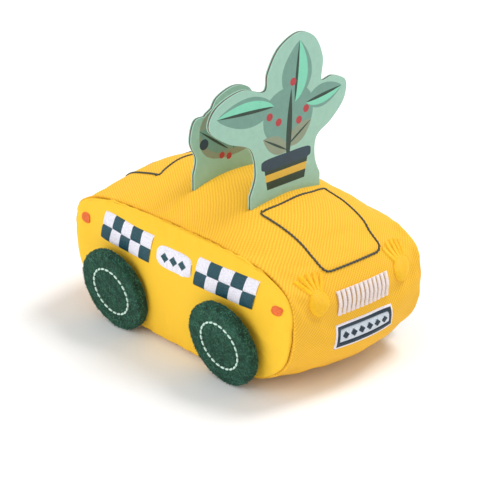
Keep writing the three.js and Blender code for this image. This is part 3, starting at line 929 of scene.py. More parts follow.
@dataclass
class StuffedBody:
    """The stuffed body: a strip over the top, a base panel and two side panels, sewn edge to edge."""

    shape: BodyShape
    filling: Filling = Filling()
    strip_columns: int = 330
    base_columns: int = 136
    strip_rows: int = 81
    side_rings: int = 44
    crowding: float = 0.93
    least_share: float = 0.02
    length_table: int = 4000
    fabric_mm: float = 0.9
    roll_width: float = 1.1
    roll_depth: float = 1.15
    roll_power: float = 1.6
    lumps: Unevenness = Unevenness(size=26.0, seed=3.0, depth=0.55)
    dents: Unevenness = Unevenness(size=11.0, seed=7.0, depth=0.22)
    ripples: Unevenness = Unevenness(size=4.2, seed=11.0, depth=0.42)
    lump_free: float = 9.0
    ripple_reach: float = 5.5
    slits: tuple[tuple[float, float], ...] = (TALL_SLIT, LOW_SLIT)
    slit_depth: float = 0.9
    slit_reach: float = 1.6
    slit_end: float = 1.5
    level_rise: float = 1.7
    level_reach: float = 7.0
    level_dip: float = 0.35
    level_fade: float = 0.3
    roof_floor: float = 50.0
    # Where each hold ends, and the width over which it fades
    base_hold: tuple[float, float] = (8.0, 4.0)
    wheel_hold: tuple[float, float] = (21.0, 5.0)
    slit_hold: tuple[float, float] = (6.0, 3.0)
    slit_margin: float = 2.0
    points: np.ndarray = field(init=False)
    cloth: Cloth = field(init=False)

    @property
    def counts(self) -> tuple[int, int, int, int]:
        """Rings of a side, rows of the strip, and columns of the strip and of the base."""
        return self.side_rings, self.strip_rows, self.strip_columns, self.base_columns

    def crowd(self, share: np.ndarray) -> np.ndarray:
        """Crowds even shares from -1 to 1 towards both ends."""
        bend = math.pi / 2 * self.crowding
        return np.sin(share * bend) / math.sin(bend)

    def column_angles(self, over: int, under: int) -> np.ndarray:
        """Gives angles at even lengths round the body, the strip's first and then the base's.

        Args:
            over: Columns of the strip.
            under: Columns of the base.

        Returns:
            Angle of each column.
        """
        shape = self.shape
        spans = []
        for start, end, count in ((shape.chin_angle, shape.tail_angle, over),
                                  (shape.tail_angle, shape.chin_angle + TAU, under)):
            fine = np.linspace(start, end, self.length_table)
            length = run_length((shape.outline(shape.seam, fine) + shape.outline(shape.crown, fine)) / 2)
            spans.append(np.interp(np.linspace(0, length[-1], count + 1), length, fine)[:-1])
        return np.concatenate(spans)

    def grid(self, rings: int, rows: int, over: int, under: int) -> np.ndarray:
        """Lays out the whole body as rows from the right waist over the strip to the left waist.

        Args:
            rings: Rings of a side panel.
            rows: Rows of the strip.
            over: Columns of the strip.
            under: Columns of the base.

        Returns:
            Points as rows, columns and places.
        """
        angle = self.column_angles(over, under)
        shares = np.maximum(self.least_share, self.crowd(np.linspace(0, 1, rings)))
        half = self.shape.seam_half - self.shape.seam_gap / 2
        across = half * self.crowd(np.linspace(-1, 1, rows))
        right = [self.shape.side_point(Side.RIGHT, angle, np.full_like(angle, s)) for s in shares]
        strip = [self.shape.strip_point(angle, np.full_like(angle, y)) for y in across]
        left = [self.shape.side_point(Side.LEFT, angle, np.full_like(angle, s)) for s in shares[::-1]]
        return np.array(right + strip + left)

    def normals(self, points: np.ndarray) -> np.ndarray:
        """Gives the outward directions of the grid.

        Args:
            points: Points of the grid.

        Returns:
            Direction at each point.
        """
        around = np.roll(points, -1, axis=1) - np.roll(points, 1, axis=1)
        normal = np.cross(around, np.gradient(points, axis=0))
        normal /= np.maximum(1e-9, np.linalg.norm(normal, axis=-1, keepdims=True))
        return normal * np.sign(np.sum(normal * (points - self.shape.centre), axis=-1, keepdims=True))

    def edge_distance(self, points: np.ndarray) -> np.ndarray:
        """Gives the distance along the cloth from each point of the grid to the nearest seam.

        Args:
            points: Points of the grid.

        Returns:
            Distance of each point.
        """
        across = np.linalg.norm(np.diff(points, axis=0), axis=-1)
        rings, rows = self.side_rings, self.strip_rows
        strip = slice(rings, rings + rows)
        lengths = np.concatenate([np.zeros((1, points.shape[1])), np.cumsum(across, axis=0)])
        distance = np.empty(points.shape[:2])
        distance[:rings] = lengths[rings - 1] - lengths[:rings]
        distance[-rings:] = lengths[-rings:] - lengths[-rings]
        distance[strip] = np.minimum(lengths[strip] - lengths[rings], lengths[strip][-1] - lengths[strip])
        around = np.linalg.norm(np.roll(points, -1, axis=1) - points, axis=-1)
        run = np.concatenate([np.zeros((points.shape[0], 1)), np.cumsum(around, axis=1)], axis=1)
        for column in (0, self.strip_columns, points.shape[1]):
            gap = np.abs(run[:, :-1] - run[:, column:column + 1])
            distance[strip] = np.minimum(distance[strip], gap[strip])
        return distance

    def relax(self, points: np.ndarray, distance: np.ndarray) -> np.ndarray:
        """Gives the cloth the lumps of its filling and the draw of its seams.

        Args:
            points: Filled grid.
            distance: Distance of each point to the nearest seam.

        Returns:
            Grid of the sewn and filled cloth.
        """
        x, y, z = points[..., 0], np.abs(points[..., 1]), points[..., 2]
        free = 1 - np.exp(-distance / self.lump_free)
        draw = np.exp(-distance / self.ripple_reach)
        offset = self.lumps.at(points) * free + self.dents.at(points) + self.ripples.at(points) * draw
        offset -= self.roll_depth * fade(distance, self.roll_width, self.roll_width) ** self.roll_power
        lift = np.zeros_like(offset)
        for place, half in self.slits:
            near = np.exp(-((x - place) / self.slit_reach) ** 2) * (z > self.roof_floor)
            offset -= self.slit_depth * near * fade(y, half + self.slit_end, self.slit_end)
            share = y / half
            beyond = (1 - self.level_dip) * np.exp(-((share - 1) / self.level_fade) ** 2)
            level = np.where(share < 1, share ** 2 - self.level_dip, beyond)
            lift += level * np.exp(-((x - place) / self.level_reach) ** 2) * (z > self.roof_floor)
        moved = points + self.normals(points) * offset[..., None]
        moved[..., 2] += self.level_rise * lift
        return moved

    def held(self, points: np.ndarray) -> np.ndarray:
        """Tells how firmly each point of the body is held by wheels, the ground and the standing panels.

        Args:
            points: Points of the body.

        Returns:
            Hold on each point, 0 for none and 1 for a full one.
        """
        x, y, z = points[..., 0], np.abs(points[..., 1]), points[..., 2]
        firm = fade(z, *self.base_hold)
        for end in End:
            middle = box_middle(f"{Side.RIGHT.word}_{end.word}_wheel")
            reach = np.hypot(x - middle[0], z - middle[2])
            firm = np.maximum(firm, fade(reach, *self.wheel_hold) * (y > self.shape.seam_half))
        for place, half in self.slits:
            near = fade(np.abs(x - place), *self.slit_hold) * (z > self.roof_floor)
            firm = np.maximum(firm, near * (y < half + self.slit_margin))
        return firm

    def fill(self, points: np.ndarray) -> np.ndarray:
        """Fills a coarse bag of the sewn panels, lets its cloth settle, and moves the grid as the bag moved.

        Args:
            points: Plain grid.

        Returns:
            How far each point of the grid moves.
        """
        coarse = self.grid(*self.filling.counts)
        rows, columns = coarse.shape[:2]
        rings, strip_rows, over, _ = self.filling.counts
        bag = make_mesh("bag", coarse.reshape(-1, 3), grid_faces(rows, columns, True))
        sewn = self.held(coarse)
        sewn[[0, rings - 1, rings, rings + strip_rows - 1, rings + strip_rows, rows - 1]] = 1.0
        sewn[rings:rings + strip_rows, [0, over]] = 1.0
        group = bag.vertex_groups.new(name="sewn")
        for index, weight in enumerate(sewn.ravel()):
            group.add([index], float(weight), "REPLACE")
        cloth = bag.modifiers.new("filling", "CLOTH")
        cloth.settings.vertex_group_mass = group.name
        for name, value in self.filling.settings().items():
            setattr(cloth.settings, name, value)
        cloth.settings.effector_weights.gravity = 0.0
        cloth.collision_settings.use_collision = False
        cloth.point_cache.frame_end = self.filling.frames
        scene = bpy.context.scene
        for frame in range(1, self.filling.frames + 1):
            scene.frame_set(frame)
        settled = bag.evaluated_get(bpy.context.evaluated_depsgraph_get()).data
        places = np.empty(rows * columns * 3)
        settled.vertices.foreach_get("co", places)
        scene.frame_set(1)
        bpy.data.objects.remove(bag)
        return self.spread_move(places.reshape(coarse.shape) / MM - coarse, points.shape[:2])

    def spread_move(self, move: np.ndarray, size: tuple[int, int]) -> np.ndarray:
        """Carries the moves of the coarse bag over to the fine grid.

        Args:
            move: Moves of the bag's points.
            size: Rows and columns of the fine grid.

        Returns:
            Moves of the fine grid's points, each kept under the cap.
        """
        places = []
        for rings, rows, over, under in (self.filling.counts, self.counts):
            side, middle = np.linspace(0, 1, rings), np.linspace(0, 1, rows)
            places.append((np.concatenate([side, 2 + middle, 4 + side]), np.concatenate(
                [np.arange(over) / over, 1 + np.arange(under) / under])))
        (row_from, column_from), (row_to, column_to) = places
        tall = np.empty((size[0], move.shape[1], 3))
        for column, axis in np.ndindex(move.shape[1], 3):
            tall[:, column, axis] = np.interp(row_to, row_from, move[:, column, axis])
        wide = np.empty((*size, 3))
        for row, axis in np.ndindex(size[0], 3):
            wide[row, :, axis] = np.interp(column_to, column_from, tall[row, :, axis], period=2.0)
        for _ in range(self.filling.smoothing):
            wide = (np.roll(wide, 1, axis=1) + 2 * wide + np.roll(wide, -1, axis=1)) / 4
            wide[1:-1] = (wide[:-2] + 2 * wide[1:-1] + wide[2:]) / 4
        self.steady_middles(wide)
        far = np.maximum(1e-9, np.linalg.norm(wide, axis=-1, keepdims=True))
        LOG.info("bag moved up to %.2f mm", float(far.max()))
        return wide * self.filling.cap * np.tanh(far / self.filling.cap) / far

    def steady_middles(self, move: np.ndarray) -> None:
        """Lets the middle of each side move as one, so that its label stays smooth.

        Args:
            move: Moves of the fine grid's points, which are changed.
        """
        rings = self.side_rings
        share = np.linspace(0, 1, rings)[:, None, None]
        ease = np.clip((share - self.filling.still_share) / self.filling.still_fade, 0, 1)
        for rows in (slice(0, rings), slice(None, -rings - 1, -1)):
            whole = move[rows][rings // 2].mean(axis=0)
            move[rows] = whole + (move[rows] - whole) * ease ** 2 * (3 - 2 * ease)

    def build(self) -> None:
        """Makes the cloth's points and the tree that embroidery is laid on."""
        plain = self.grid(*self.counts)
        distance = self.edge_distance(plain)
        plain = plain + self.fill(plain)
        self.points = self.relax(plain, distance)
        self.points[..., 2] = np.maximum(self.points[..., 2], GROUND_MM)
        rows, columns = self.points.shape[:2]
        corners = [Vector(p * MM) for p in self.points.reshape(-1, 3)]
        tree = BVHTree.FromPolygons(corners, grid_faces(rows, columns, True))
        self.cloth = Cloth(tree, self.shape.centre)

    def panel(self, name: str, rows: slice, columns: Sequence[int], side: bool) -> bpy.types.Object:
        """Cuts a panel out of the grid and finishes it as cloth of its own.

        Args:
            name: Name of the piece.
            rows: Rows of the grid.
            columns: Columns of the grid.
            side: Whether it is a side, whose columns run all round and whose first row closes in a point.

        Returns:
            The panel.
        """
        part = self.points[rows][:, columns]
        count = part.shape[:2]
        points = part.reshape(-1, 3)
        faces: list[tuple[int, ...]] = list(grid_faces(*count, side))
        if side:
            points = np.vstack([points, part[0].mean(axis=0)])
            faces += [(len(points) - 1, (c + 1) % count[1], c) for c in range(count[1])]
        piece = make_mesh(name, points, faces, [SIDE_COTTON if side else STRIP_COTTON])
        self.map_weave(piece, part, side)
        if np.array(piece.data.polygons[0].normal) @ (part[0, 0] - self.shape.centre) < 0:
            piece.data.flip_normals()
        wall = piece.modifiers.new("cloth", "SOLIDIFY")
        wall.thickness = self.fabric_mm * MM
        wall.offset = -1
        return piece

    def map_weave(self, piece: bpy.types.Object, part: np.ndarray, side: bool) -> None:
        """Gives a panel the map of its weave, in millimetres of cloth.

        Args:
            piece: Panel.
            part: Its points as a grid.
            side: Whether it is a side, so that X and Z serve.
        """
        points = part.reshape(-1, 3)
        if side:
            places = np.vstack([points[:, [0, 2]], part[0].mean(axis=0)[[0, 2]]])
        else:
            steps = np.linalg.norm(np.diff(part, axis=1), axis=-1).mean(axis=0)
            along = np.concatenate([[0], np.cumsum(steps)])
            places = np.stack([np.broadcast_to(along, part.shape[:2]).ravel(), points[:, 1]], axis=-1)
        layer = piece.data.uv_layers.new(name=WEAVE)
        corners = np.array([loop.vertex_index for loop in piece.data.loops])
        layer.data.foreach_set("uv", places[corners].ravel())

    def dress(self) -> None:
        """Makes the four panels and rides them on the body."""
        rings = self.side_rings
        strip = slice(rings, rings + self.strip_rows)
        around = list(range(self.points.shape[1]))
        upper = around[:self.strip_columns + 1]
        lower = around[self.strip_columns:] + [0]
        for name, rows, columns, nodes in (
                ("strip_cloth", strip, upper, ("top_strip", "stuffing")),
                ("base_cloth", strip, lower, ("base_panel",)),
                ("right_side_cloth", slice(0, rings), around, ("right_side_panel",)),
                ("left_side_cloth", slice(None, -rings - 1, -1), around, ("left_side_panel",))):
            piece = self.panel(name, rows, columns, columns is around)
            settle_piece(piece, "cotton", *nodes)


@dataclass
class Embroidery:
    """Satin stitch: strands side by side over a low pad, laid on the cloth, in millimetres."""

    cloth: Cloth
    tools: Tools
    pitch: float = 0.5
    radius: float = 0.29
    rise: float = 0.42
    arch_power: int = 6
    edge_dip: float = 0.12
    pad_drop: float = 0.1
    pad_foot: float = 0.2
    points: int = 9
    least_strands: int = 3

    def satin(self, name: str, surface: Surface, strands: np.ndarray, finish: Finish,
              base: float = 0.0) -> bpy.types.Object:
        """Makes a patch of satin stitch.

        Args:
            name: Name of the patch.
            surface: Surface that it lies on.
            strands: Places of the points of each strand, in order from one edge to the other.
            finish: Finish of the thread.
            base: Height that the patch starts at.

        Returns:
            The patch, pad and strands together.
        """
        count, points = strands.shape[:2]
        arch = 1 - np.linspace(-1, 1, points) ** self.arch_power
        height = base + self.rise * arch - self.edge_dip * (1 - arch)
        places, _ = self.cloth.lay(surface, strands[..., 0], strands[..., 1], height)
        edges = [(r * points + c, r * points + c + 1) for r in range(count) for c in range(points - 1)]
        thread = make_mesh(name, places.reshape(-1, 3), [], edges=edges)
        self.tools.strands.run(thread, finish, Radius=self.radius * MM)
        return joined(name, [self.pad(name, surface, strands, height, finish), thread])

    def pad(self, name: str, surface: Surface, strands: np.ndarray, height: np.ndarray,
            finish: Finish) -> bpy.types.Object:
        """Makes the closed pad under the strands.

        Args:
            name: Name of the patch.
            surface: Surface that it lies on.
            strands: Places of the strands.
            height: Height of the strands along their length.
            finish: Finish of the thread.

        Returns:
            The pad.
        """
        count, points = strands.shape[:2]
        levels = (height - self.pad_drop, np.minimum(height, 0) - self.pad_foot)
        layers = [self.cloth.lay(surface, strands[..., 0], strands[..., 1], level)[0] for level in levels]
        size = count * points
        faces = grid_faces(count, points)
        faces += [tuple(size + i for i in reversed(f)) for f in grid_faces(count, points)]
        rim = (list(range(points)) + [r * points + points - 1 for r in range(1, count)]
               + [(count - 1) * points + c for c in range(points - 2, -1, -1)]
               + [r * points for r in range(count - 2, 0, -1)])
        for here, after in zip(rim, rim[1:] + rim[:1]):
            faces.append((after, here, size + here, size + after))
        patch = make_mesh(name, np.reshape(layers, (-1, 3)), faces, [finish])
        face_outwards(patch)
        return patch

    def block(self, centre: tuple[float, float], size: tuple[float, float], lean: float = 0.0,
              squareness: float = 0.0, upright: bool = True) -> np.ndarray:
        """Lays out the strands of a patch.

        Args:
            centre: Middle of the patch on its surface.
            size: Length and height of the patch.
            lean: How far the top leans forward.
            squareness: Power of a rounded outline, or 0 for a straight one.
            upright: Whether the strands run along the second direction.

        Returns:
            Places of the points of each strand.
        """
        across, along = (size[0], size[1]) if upright else (size[1], size[0])
        count = max(self.least_strands, round(across / self.pitch))
        places = (np.arange(count) + 0.5) / count * 2 - 1
        span = np.linspace(-1, 1, self.points)
        reach = (1 - np.abs(places) ** squareness) ** (1 / squareness) if squareness else np.ones(count)
        first = np.broadcast_to((places * across / 2)[:, None], (count, self.points))
        second = reach[:, None] * span * along / 2
        p, q = (first, second) if upright else (second, first)
        return np.stack([centre[0] + p + lean * q / size[1], centre[1] + q], axis=-1)


@dataclass
class SideEmbroidery:
    """Checker bands, label and indicators of one side."""

    side: Side
    shape: BodyShape
    work: Embroidery
    # Width and height of a square
    square: tuple[float, float] = (6.7, 6.5)
    columns: int = 5
    rows: int = 2
    lean: float = 3.0
    band_height: float = 43.7
    # End of each band and its place along the car
    bands: tuple[tuple[End, float], ...] = ((End.FRONT, 31.5), (End.REAR, -30.0))
    # Place along the car, place up it, length and height
    label: tuple[float, float, float, float] = (1.5, 43.3, 21.0, 9.8)
    label_lean: float = 0.5
    label_squareness: float = 4.0
    lozenges: tuple[float, ...] = (-5.4, 0.0, 5.4)
    # Length and height of a lozenge
    lozenge: tuple[float, float] = (4.4, 5.2)
    lozenge_rise: float = 0.22
    # End, place along the car, place up it, length, height and lean of each
    indicators: tuple[tuple[End, float, float, float, float, float], ...] = (
        (End.FRONT, 60.0, 41.0, 5.6, 4.0, 1.4), (End.REAR, -59.5, 42.0, 4.4, 4.8, 0.0))
    indicator_squareness: float = 2.6

    def band(self, end: End, middle: float) -> None:
        """Makes the pale and the dark squares of a band.

        Args:
            end: End of the car.
            middle: Place of the band along the car.
        """
        surface = self.shape.on_side(self.side)
        width, height = self.square
        patches: dict[bool, list[bpy.types.Object]] = {True: [], False: []}
        for row in range(self.rows):
            for column in range(self.columns):
                dark = (row + column) % 2 == 0
                up = (row - (self.rows - 1) / 2) * height
                x = middle + (column - (self.columns - 1) / 2) * width + self.lean * up / (self.rows * height)
                strands = self.work.block((x, self.band_height + up), (width, height), self.lean / self.rows)
                patches[dark].append(self.work.satin(
                    "square", surface, strands, DARK_THREAD if dark else WHITE_THREAD))
        prefix = f"{self.side.word}_{end.word}_check"
        settle_piece(joined(f"{prefix}_dark", patches[True]), "dark_thread", f"{prefix}_squares")
        settle_piece(joined(f"{prefix}_pale", patches[False]), "white_thread", f"{prefix}_ground")

    def build(self) -> None:
        """Makes all the embroidery of the side."""
        surface = self.shape.on_side(self.side)
        for end, middle in self.bands:
            self.band(end, middle)
        x, z, length, height = self.label
        strands = self.work.block((x, z), (length, height), self.label_lean, self.label_squareness)
        patches = [self.work.satin("label", surface, strands, WHITE_THREAD)]
        for gap in self.lozenges:
            strands = self.work.block((x + gap, z), self.lozenge, squareness=1.0)
            patches.append(self.work.satin("lozenge", surface, strands, DARK_THREAD, self.lozenge_rise))
        word = self.side.word
        settle_piece(joined(f"{word}_label_patch", patches), "white_thread", f"{word}_label")
        for end, x, z, length, height, lean in self.indicators:
            strands = self.work.block((x, z), (length, height), lean, self.indicator_squareness)
            name = f"{word}_{end.word}_indicator"
            spot = self.work.satin(f"{name}_patch", surface, strands, ORANGE_THREAD)
            settle_piece(spot, "orange_thread", name)


@dataclass
class FrontEmbroidery:
    """Headlamps, grille and number plate on the front of the strip."""

    shape: BodyShape
    work: Embroidery
    # Place along the strip, place across it, length and width
    lamp: tuple[float, float, float, float] = (4.6, 23.8, 11.2, 9.4)
    lamp_rise: float = 0.35
    rays: int = 5
    # Length and width of a ray
    ray: tuple[float, float] = (9.0, 1.7)
    ray_squareness: float = 4.0
    ray_fan_deg: float = 14.0
    ray_start: float = 4.4
    # Place along the strip, length and width
    grille: tuple[float, float, float] = (1.5, 11.0, 29.6)
    ground_rise: float = -0.2
    bars: int = 12
    bar_share: float = 0.66
    bar_rise: float = 0.15
    # Place along the strip, length, width at the foot and taper of a side
    plate: tuple[float, float, float, float] = (-13.4, 9.7, 33.0, 1.2)
    border: float = 0.6
    line: float = 1.5
    line_rise: float = 0.1
    # Strands across the short and the long edges of a border
    edge_strands: tuple[int, int] = (20, 60)
    field_rise: float = -0.1
    lozenges: int = 6
    # Length and width of a lozenge
    lozenge: tuple[float, float] = (3.6, 3.2)
    lozenge_reach: float = 10.8
    lozenge_rise: float = 0.12

    def headlamp(self, side: Side) -> None:
        """Makes a lamp with the rays fanned over it.

        Args:
            side: Side of the car.
        """
        strip = self.shape.on_strip()
        along, across, length, width = self.lamp
        across *= side.value
        oval = self.work.block((along, across), (length, width), squareness=2.0)
        patches = [self.work.satin("lamp", strip, oval, LAMP_THREAD, self.lamp_rise)]
        reach, thick = self.ray
        bar = self.work.block(
            (self.ray_start + reach / 2, 0.0), (reach, thick), squareness=self.ray_squareness)
        for i in range(self.rays):
            turn = math.radians(self.ray_fan_deg * (i - (self.rays - 1) / 2))
            p = along + bar[..., 0] * math.cos(turn) - bar[..., 1] * math.sin(turn)
            q = across + bar[..., 0] * math.sin(turn) + bar[..., 1] * math.cos(turn)
            patches.append(self.work.satin("ray", strip, np.stack([p, q], axis=-1), LAMP_THREAD))
        settle_piece(joined(f"{side.word}_headlamp_patch", patches), "lamp_thread", f"{side.word}_headlamp")

    def grille_bars(self) -> None:
        """Makes the pale bars over the tan ground of the grille."""
        strip = self.shape.on_strip()
        along, length, width = self.grille
        ground = self.work.block((along, 0.0), (length, width), upright=False)
        patches = [self.work.satin("ground", strip, ground, GRILLE_GROUND, self.ground_rise)]
        step = width / self.bars
        for i in range(self.bars):
            middle = (i + 0.5) * step - width / 2
            bar = self.work.block((along, middle), (length, step * self.bar_share))
            patches.append(self.work.satin("bar", strip, bar, GRILLE_THREAD, self.bar_rise))
        settle_piece(joined("grille_patch", patches), "grille_thread", "grille")

    def plate_ring(self, inset: float, width: float) -> np.ndarray:
        """Lays out short strands across a border of the plate.

        Args:
            inset: Distance of the border's outer edge from the plate's edge.
            width: Width of the border.

        Returns:
            Places of the points of each strand, round the plate.
        """
        along, length, wide, taper = self.plate
        loops = []
        for gap in (inset, inset + width):
            low, high = along - length / 2 + gap, along + length / 2 - gap
            near, far = wide / 2 - gap, wide / 2 - taper - gap
            corners = np.array([[low, -near], [high, -far], [high, far], [low, near]])
            loops.append(np.concatenate([
                np.linspace(corners[i], corners[(i + 1) % 4], self.edge_strands[i % 2], endpoint=False)
                for i in range(4)]))
        share = np.linspace(0, 1, self.work.points)[None, :, None]
        ring = loops[0][:, None] * (1 - share) + loops[1][:, None] * share
        return np.concatenate([ring, ring[:1]])

    def number_plate(self) -> None:
        """Makes the border, the dark line and the field of the plate, with a row of lozenges."""
        strip = self.shape.on_strip()
        rim = self.work.satin("plate_border_patch", strip, self.plate_ring(0.0, self.border), WHITE_THREAD)
        settle_piece(rim, "white_thread", "plate_border")
        line = self.plate_ring(self.border, self.line)
        outline = self.work.satin("plate_line_patch", strip, line, PLATE_THREAD, self.line_rise)
        settle_piece(outline, "plate_thread", "plate_line")
        along, length, wide, taper = self.plate
        edge = self.border + self.line
        strands = self.work.block((along, 0.0), (length - 2 * edge, wide - 2 * edge - taper), upright=False)
        strands[..., 1] *= 1 - taper * (strands[..., 0] - along) / (length * wide / 2)
        patches = [self.work.satin("field", strip, strands, PLATE_FIELD, self.field_rise)]
        for place in np.linspace(-self.lozenge_reach, self.lozenge_reach, self.lozenges):
            strands = self.work.block((along, place), self.lozenge, squareness=1.0, upright=False)
            patches.append(self.work.satin("lozenge", strip, strands, PLATE_THREAD, self.lozenge_rise))
        settle_piece(joined("plate_field_patch", patches), "plate_field", "plate_field")

    def build(self) -> None:
        """Makes all the embroidery of the front."""
        for side in Side:
            self.headlamp(side)
        self.grille_bars()
        self.number_plate()


@dataclass
class LineStitching:
    """Lines of dark stitching round the bonnet and at the rear of the roof."""

    shape: BodyShape
    cloth: Cloth
    tools: Tools
    # Name, start and end along the strip, half width at both, and corner at both
    lines: tuple[tuple[str, float, float, float, float, float, float], ...] = (
        ("bonnet_line", 15.8, 55.0, 16.4, 18.3, 4.0, 1.2), ("rear_line", 123.0, 152.0, 18.5, 15.0, 1.2, 4.0))
    stitch: float = 2.4
    pitch: float = 1.75
    radius: float = 0.42
    slant_deg: float = 13.0
    rise: float = 0.16
    corner_points: int = 9
    path_points: int = 240

    def loop(self, start: float, end: float, start_half: float, end_half: float, start_corner: float,
             end_corner: float) -> np.ndarray:
        """Gives a rounded outline as places along and across the strip.

        Args:
            start: First place along the strip.
            end: Last place along it.
            start_half: Half width at the first place.
            end_half: Half width at the last place.
            start_corner: How far the first two corners are rounded.
            end_corner: How far the last two are.

        Returns:
            Places round the outline, evenly spaced.
        """
        corners = np.array([[start, -start_half], [end, -end_half], [end, end_half], [start, start_half]])
        path = []
        bend = np.linspace(0, 1, self.corner_points)[:, None]
        for i, here in enumerate(corners):
            before, after = corners[i - 1], corners[(i + 1) % 4]
            corner = start_corner if i in (0, 3) else end_corner
            a = here + (before - here) / np.linalg.norm(before - here) * corner
            b = here + (after - here) / np.linalg.norm(after - here) * corner
            path.append((1 - bend) ** 2 * a + 2 * bend * (1 - bend) * here + bend ** 2 * b)
        path = np.concatenate(path + [path[0][:1]])
        run = run_length(path)
        even = np.linspace(0, run[-1], self.path_points, endpoint=False)
        return np.stack([np.interp(even, run, path[:, k]) for k in range(2)], axis=-1)

    def build(self) -> None:
        """Sets the stitches of each line."""
        for name, *sizes in self.lines:
            path = self.loop(*sizes)
            places, lifts = self.cloth.lay(self.shape.on_strip(), path[:, 0], path[:, 1], self.rise)
            length = np.linalg.norm(places - np.roll(places, 1, axis=0), axis=-1).sum()
            piece = self.tools.stitches.sew(
                f"{name}_stitches", places, lifts, LINE_THREAD, Count=round(length / self.pitch),
                Length=self.stitch * MM, Radius=self.radius * MM, Slant=math.radians(self.slant_deg))
            settle_piece(piece, "line_thread", name)


@dataclass
class FeltWheel:
    """A felt disc, sewn to the side through a ring of running stitch, in millimetres."""

    side: Side
    end: End
    tools: Tools
    radius: float = 18.6
    thickness: float = 5.0
    edge_round: float = 1.3
    hub: float = 0.4
    lean_deg: float = 10.2
    dome: float = 0.25
    draw_depth: float = 0.55
    draw_width: float = 1.0
    draw_even: float = 0.75
    # Size and depth of the lumps of the felt
    lumps: tuple[tuple[float, float], ...] = ((3.2, 0.22), (1.3, 0.12))
    ring_radius: float = 10.8
    stitches: int = 24
    stitch: float = 2.2
    thread: float = 0.5
    thread_sunk: float = 0.18
    slant_deg: float = 5.0
    fibre_length: float = 1.1
    fibre_radius: float = 0.1
    fibres_per_mm2: float = 1.2
    turns: int = 144
    face_rows: int = 24
    edge_rows: int = 5
    back_rows: int = 10
    ring_points: int = 240

    @property
    def node(self) -> str:
        """Name of the wheel's solid."""
        return f"{self.side.word}_{self.end.word}_wheel"

    @property
    def axis(self) -> np.ndarray:
        """Direction from the wheel's inner face to its outer one."""
        lean = math.radians(self.lean_deg)
        return np.array([0.0, self.side.value * math.cos(lean), -math.sin(lean)])

    def place(self, far: np.ndarray, angle: np.ndarray, out: np.ndarray) -> np.ndarray:
        """Turns places on the wheel to places on the car.

        Args:
            far: Distances from the wheel's axis.
            angle: Angles round it, from the car's front upwards.
            out: Places along the axis, from the wheel's inner face.

        Returns:
            Points in millimetres.
        """
        lean = math.radians(self.lean_deg)
        ahead = np.array([1.0, 0.0, 0.0])
        rise = np.array([0.0, self.side.value * math.sin(lean), math.cos(lean)])
        middle = box_middle(self.node) - self.axis * self.thickness / 2
        return (middle + (far * np.cos(angle))[..., None] * ahead + (far * np.sin(angle))[..., None] * rise
                + out[..., None] * self.axis)

    def section(self) -> np.ndarray:
        """Gives the disc's section as distances from the axis and along it, from the outer middle round.

        Returns:
            Distances from the axis and along it.
        """
        bend = np.linspace(0, math.pi / 2, self.edge_rows)
        edge, t = self.edge_round, self.thickness
        flat = self.radius - edge
        face = np.stack([np.linspace(self.hub, flat, self.face_rows), np.full(self.face_rows, t)], axis=-1)
        outer = np.stack([flat + edge * np.sin(bend), t - edge + edge * np.cos(bend)], axis=-1)
        inner = np.stack([flat + edge * np.cos(bend), edge - edge * np.sin(bend)], axis=-1)
        back = np.stack([np.linspace(flat, self.hub, self.back_rows), np.zeros(self.back_rows)], axis=-1)
        return np.concatenate([face, outer[1:], inner, back[1:]])

    def disc(self) -> bpy.types.Object:
        """Makes the disc, lumpy as cut felt is and drawn in where it is sewn.

        Returns:
            The disc.
        """
        section = self.section()
        rows, turns = len(section), self.turns
        angle = np.arange(turns) / turns * TAU
        far = np.broadcast_to(section[:, :1], (rows, turns))
        out = np.broadcast_to(section[:, 1:], (rows, turns)).copy()
        back = out < self.edge_round / 4
        draw = np.exp(-((far - self.ring_radius) / self.draw_width) ** 2)
        draw *= self.draw_even + (1 - self.draw_even) * np.cos(self.stitches * angle)
        dome = np.maximum(0, 1 - (far / self.ring_radius) ** 2)
        out[:self.face_rows] += (self.dome * dome - self.draw_depth * draw)[:self.face_rows]
        points = self.place(far, angle, out).reshape(-1, 3)
        away = points - points.mean(axis=0)
        away /= np.linalg.norm(away, axis=-1, keepdims=True)
        seed = 5.0 * self.side.value + 3.0 * self.end.value
        rough = np.zeros(len(points))
        for i, (size, depth) in enumerate(self.lumps):
            rough += Unevenness(size, seed + i, depth).at(points)
        points = points + away * np.where(back.ravel(), -np.abs(rough), rough)[:, None]
        points = np.vstack([points, points[:turns].mean(axis=0), points[-turns:].mean(axis=0)])
        total = rows * turns
        last = total - turns
        faces: list[tuple[int, ...]] = list(grid_faces(rows, turns, True))
        faces += [(total, (c + 1) % turns, c) for c in range(turns)]
        faces += [(total + 1, last + c, last + (c + 1) % turns) for c in range(turns)]
        piece = make_mesh(f"{self.node}_felt", points, faces, [WHEEL_FELT])
        face_outwards(piece)
        return piece

    def felt(self) -> None:
        """Makes the disc with its fibres, none of them under the ground."""
        disc = self.disc()
        fibres = link_mesh(f"{self.node}_fibres", disc.data.copy())
        self.tools.fibres.run(
            fibres, FELT_FIBRE, Density=self.fibres_per_mm2 / MM ** 2, Length=self.fibre_length * MM,
            Radius=self.fibre_radius * MM, Seed=3 + self.side.value + 2 * self.end.value)
        wheel = joined(disc.name, [disc, fibres])
        places = np.empty(len(wheel.data.vertices) * 3)
        wheel.data.vertices.foreach_get("co", places)
        places[2::3] = np.maximum(places[2::3], GROUND_MM * MM)
        wheel.data.vertices.foreach_set("co", places)
        settle_piece(wheel, "felt", self.node)

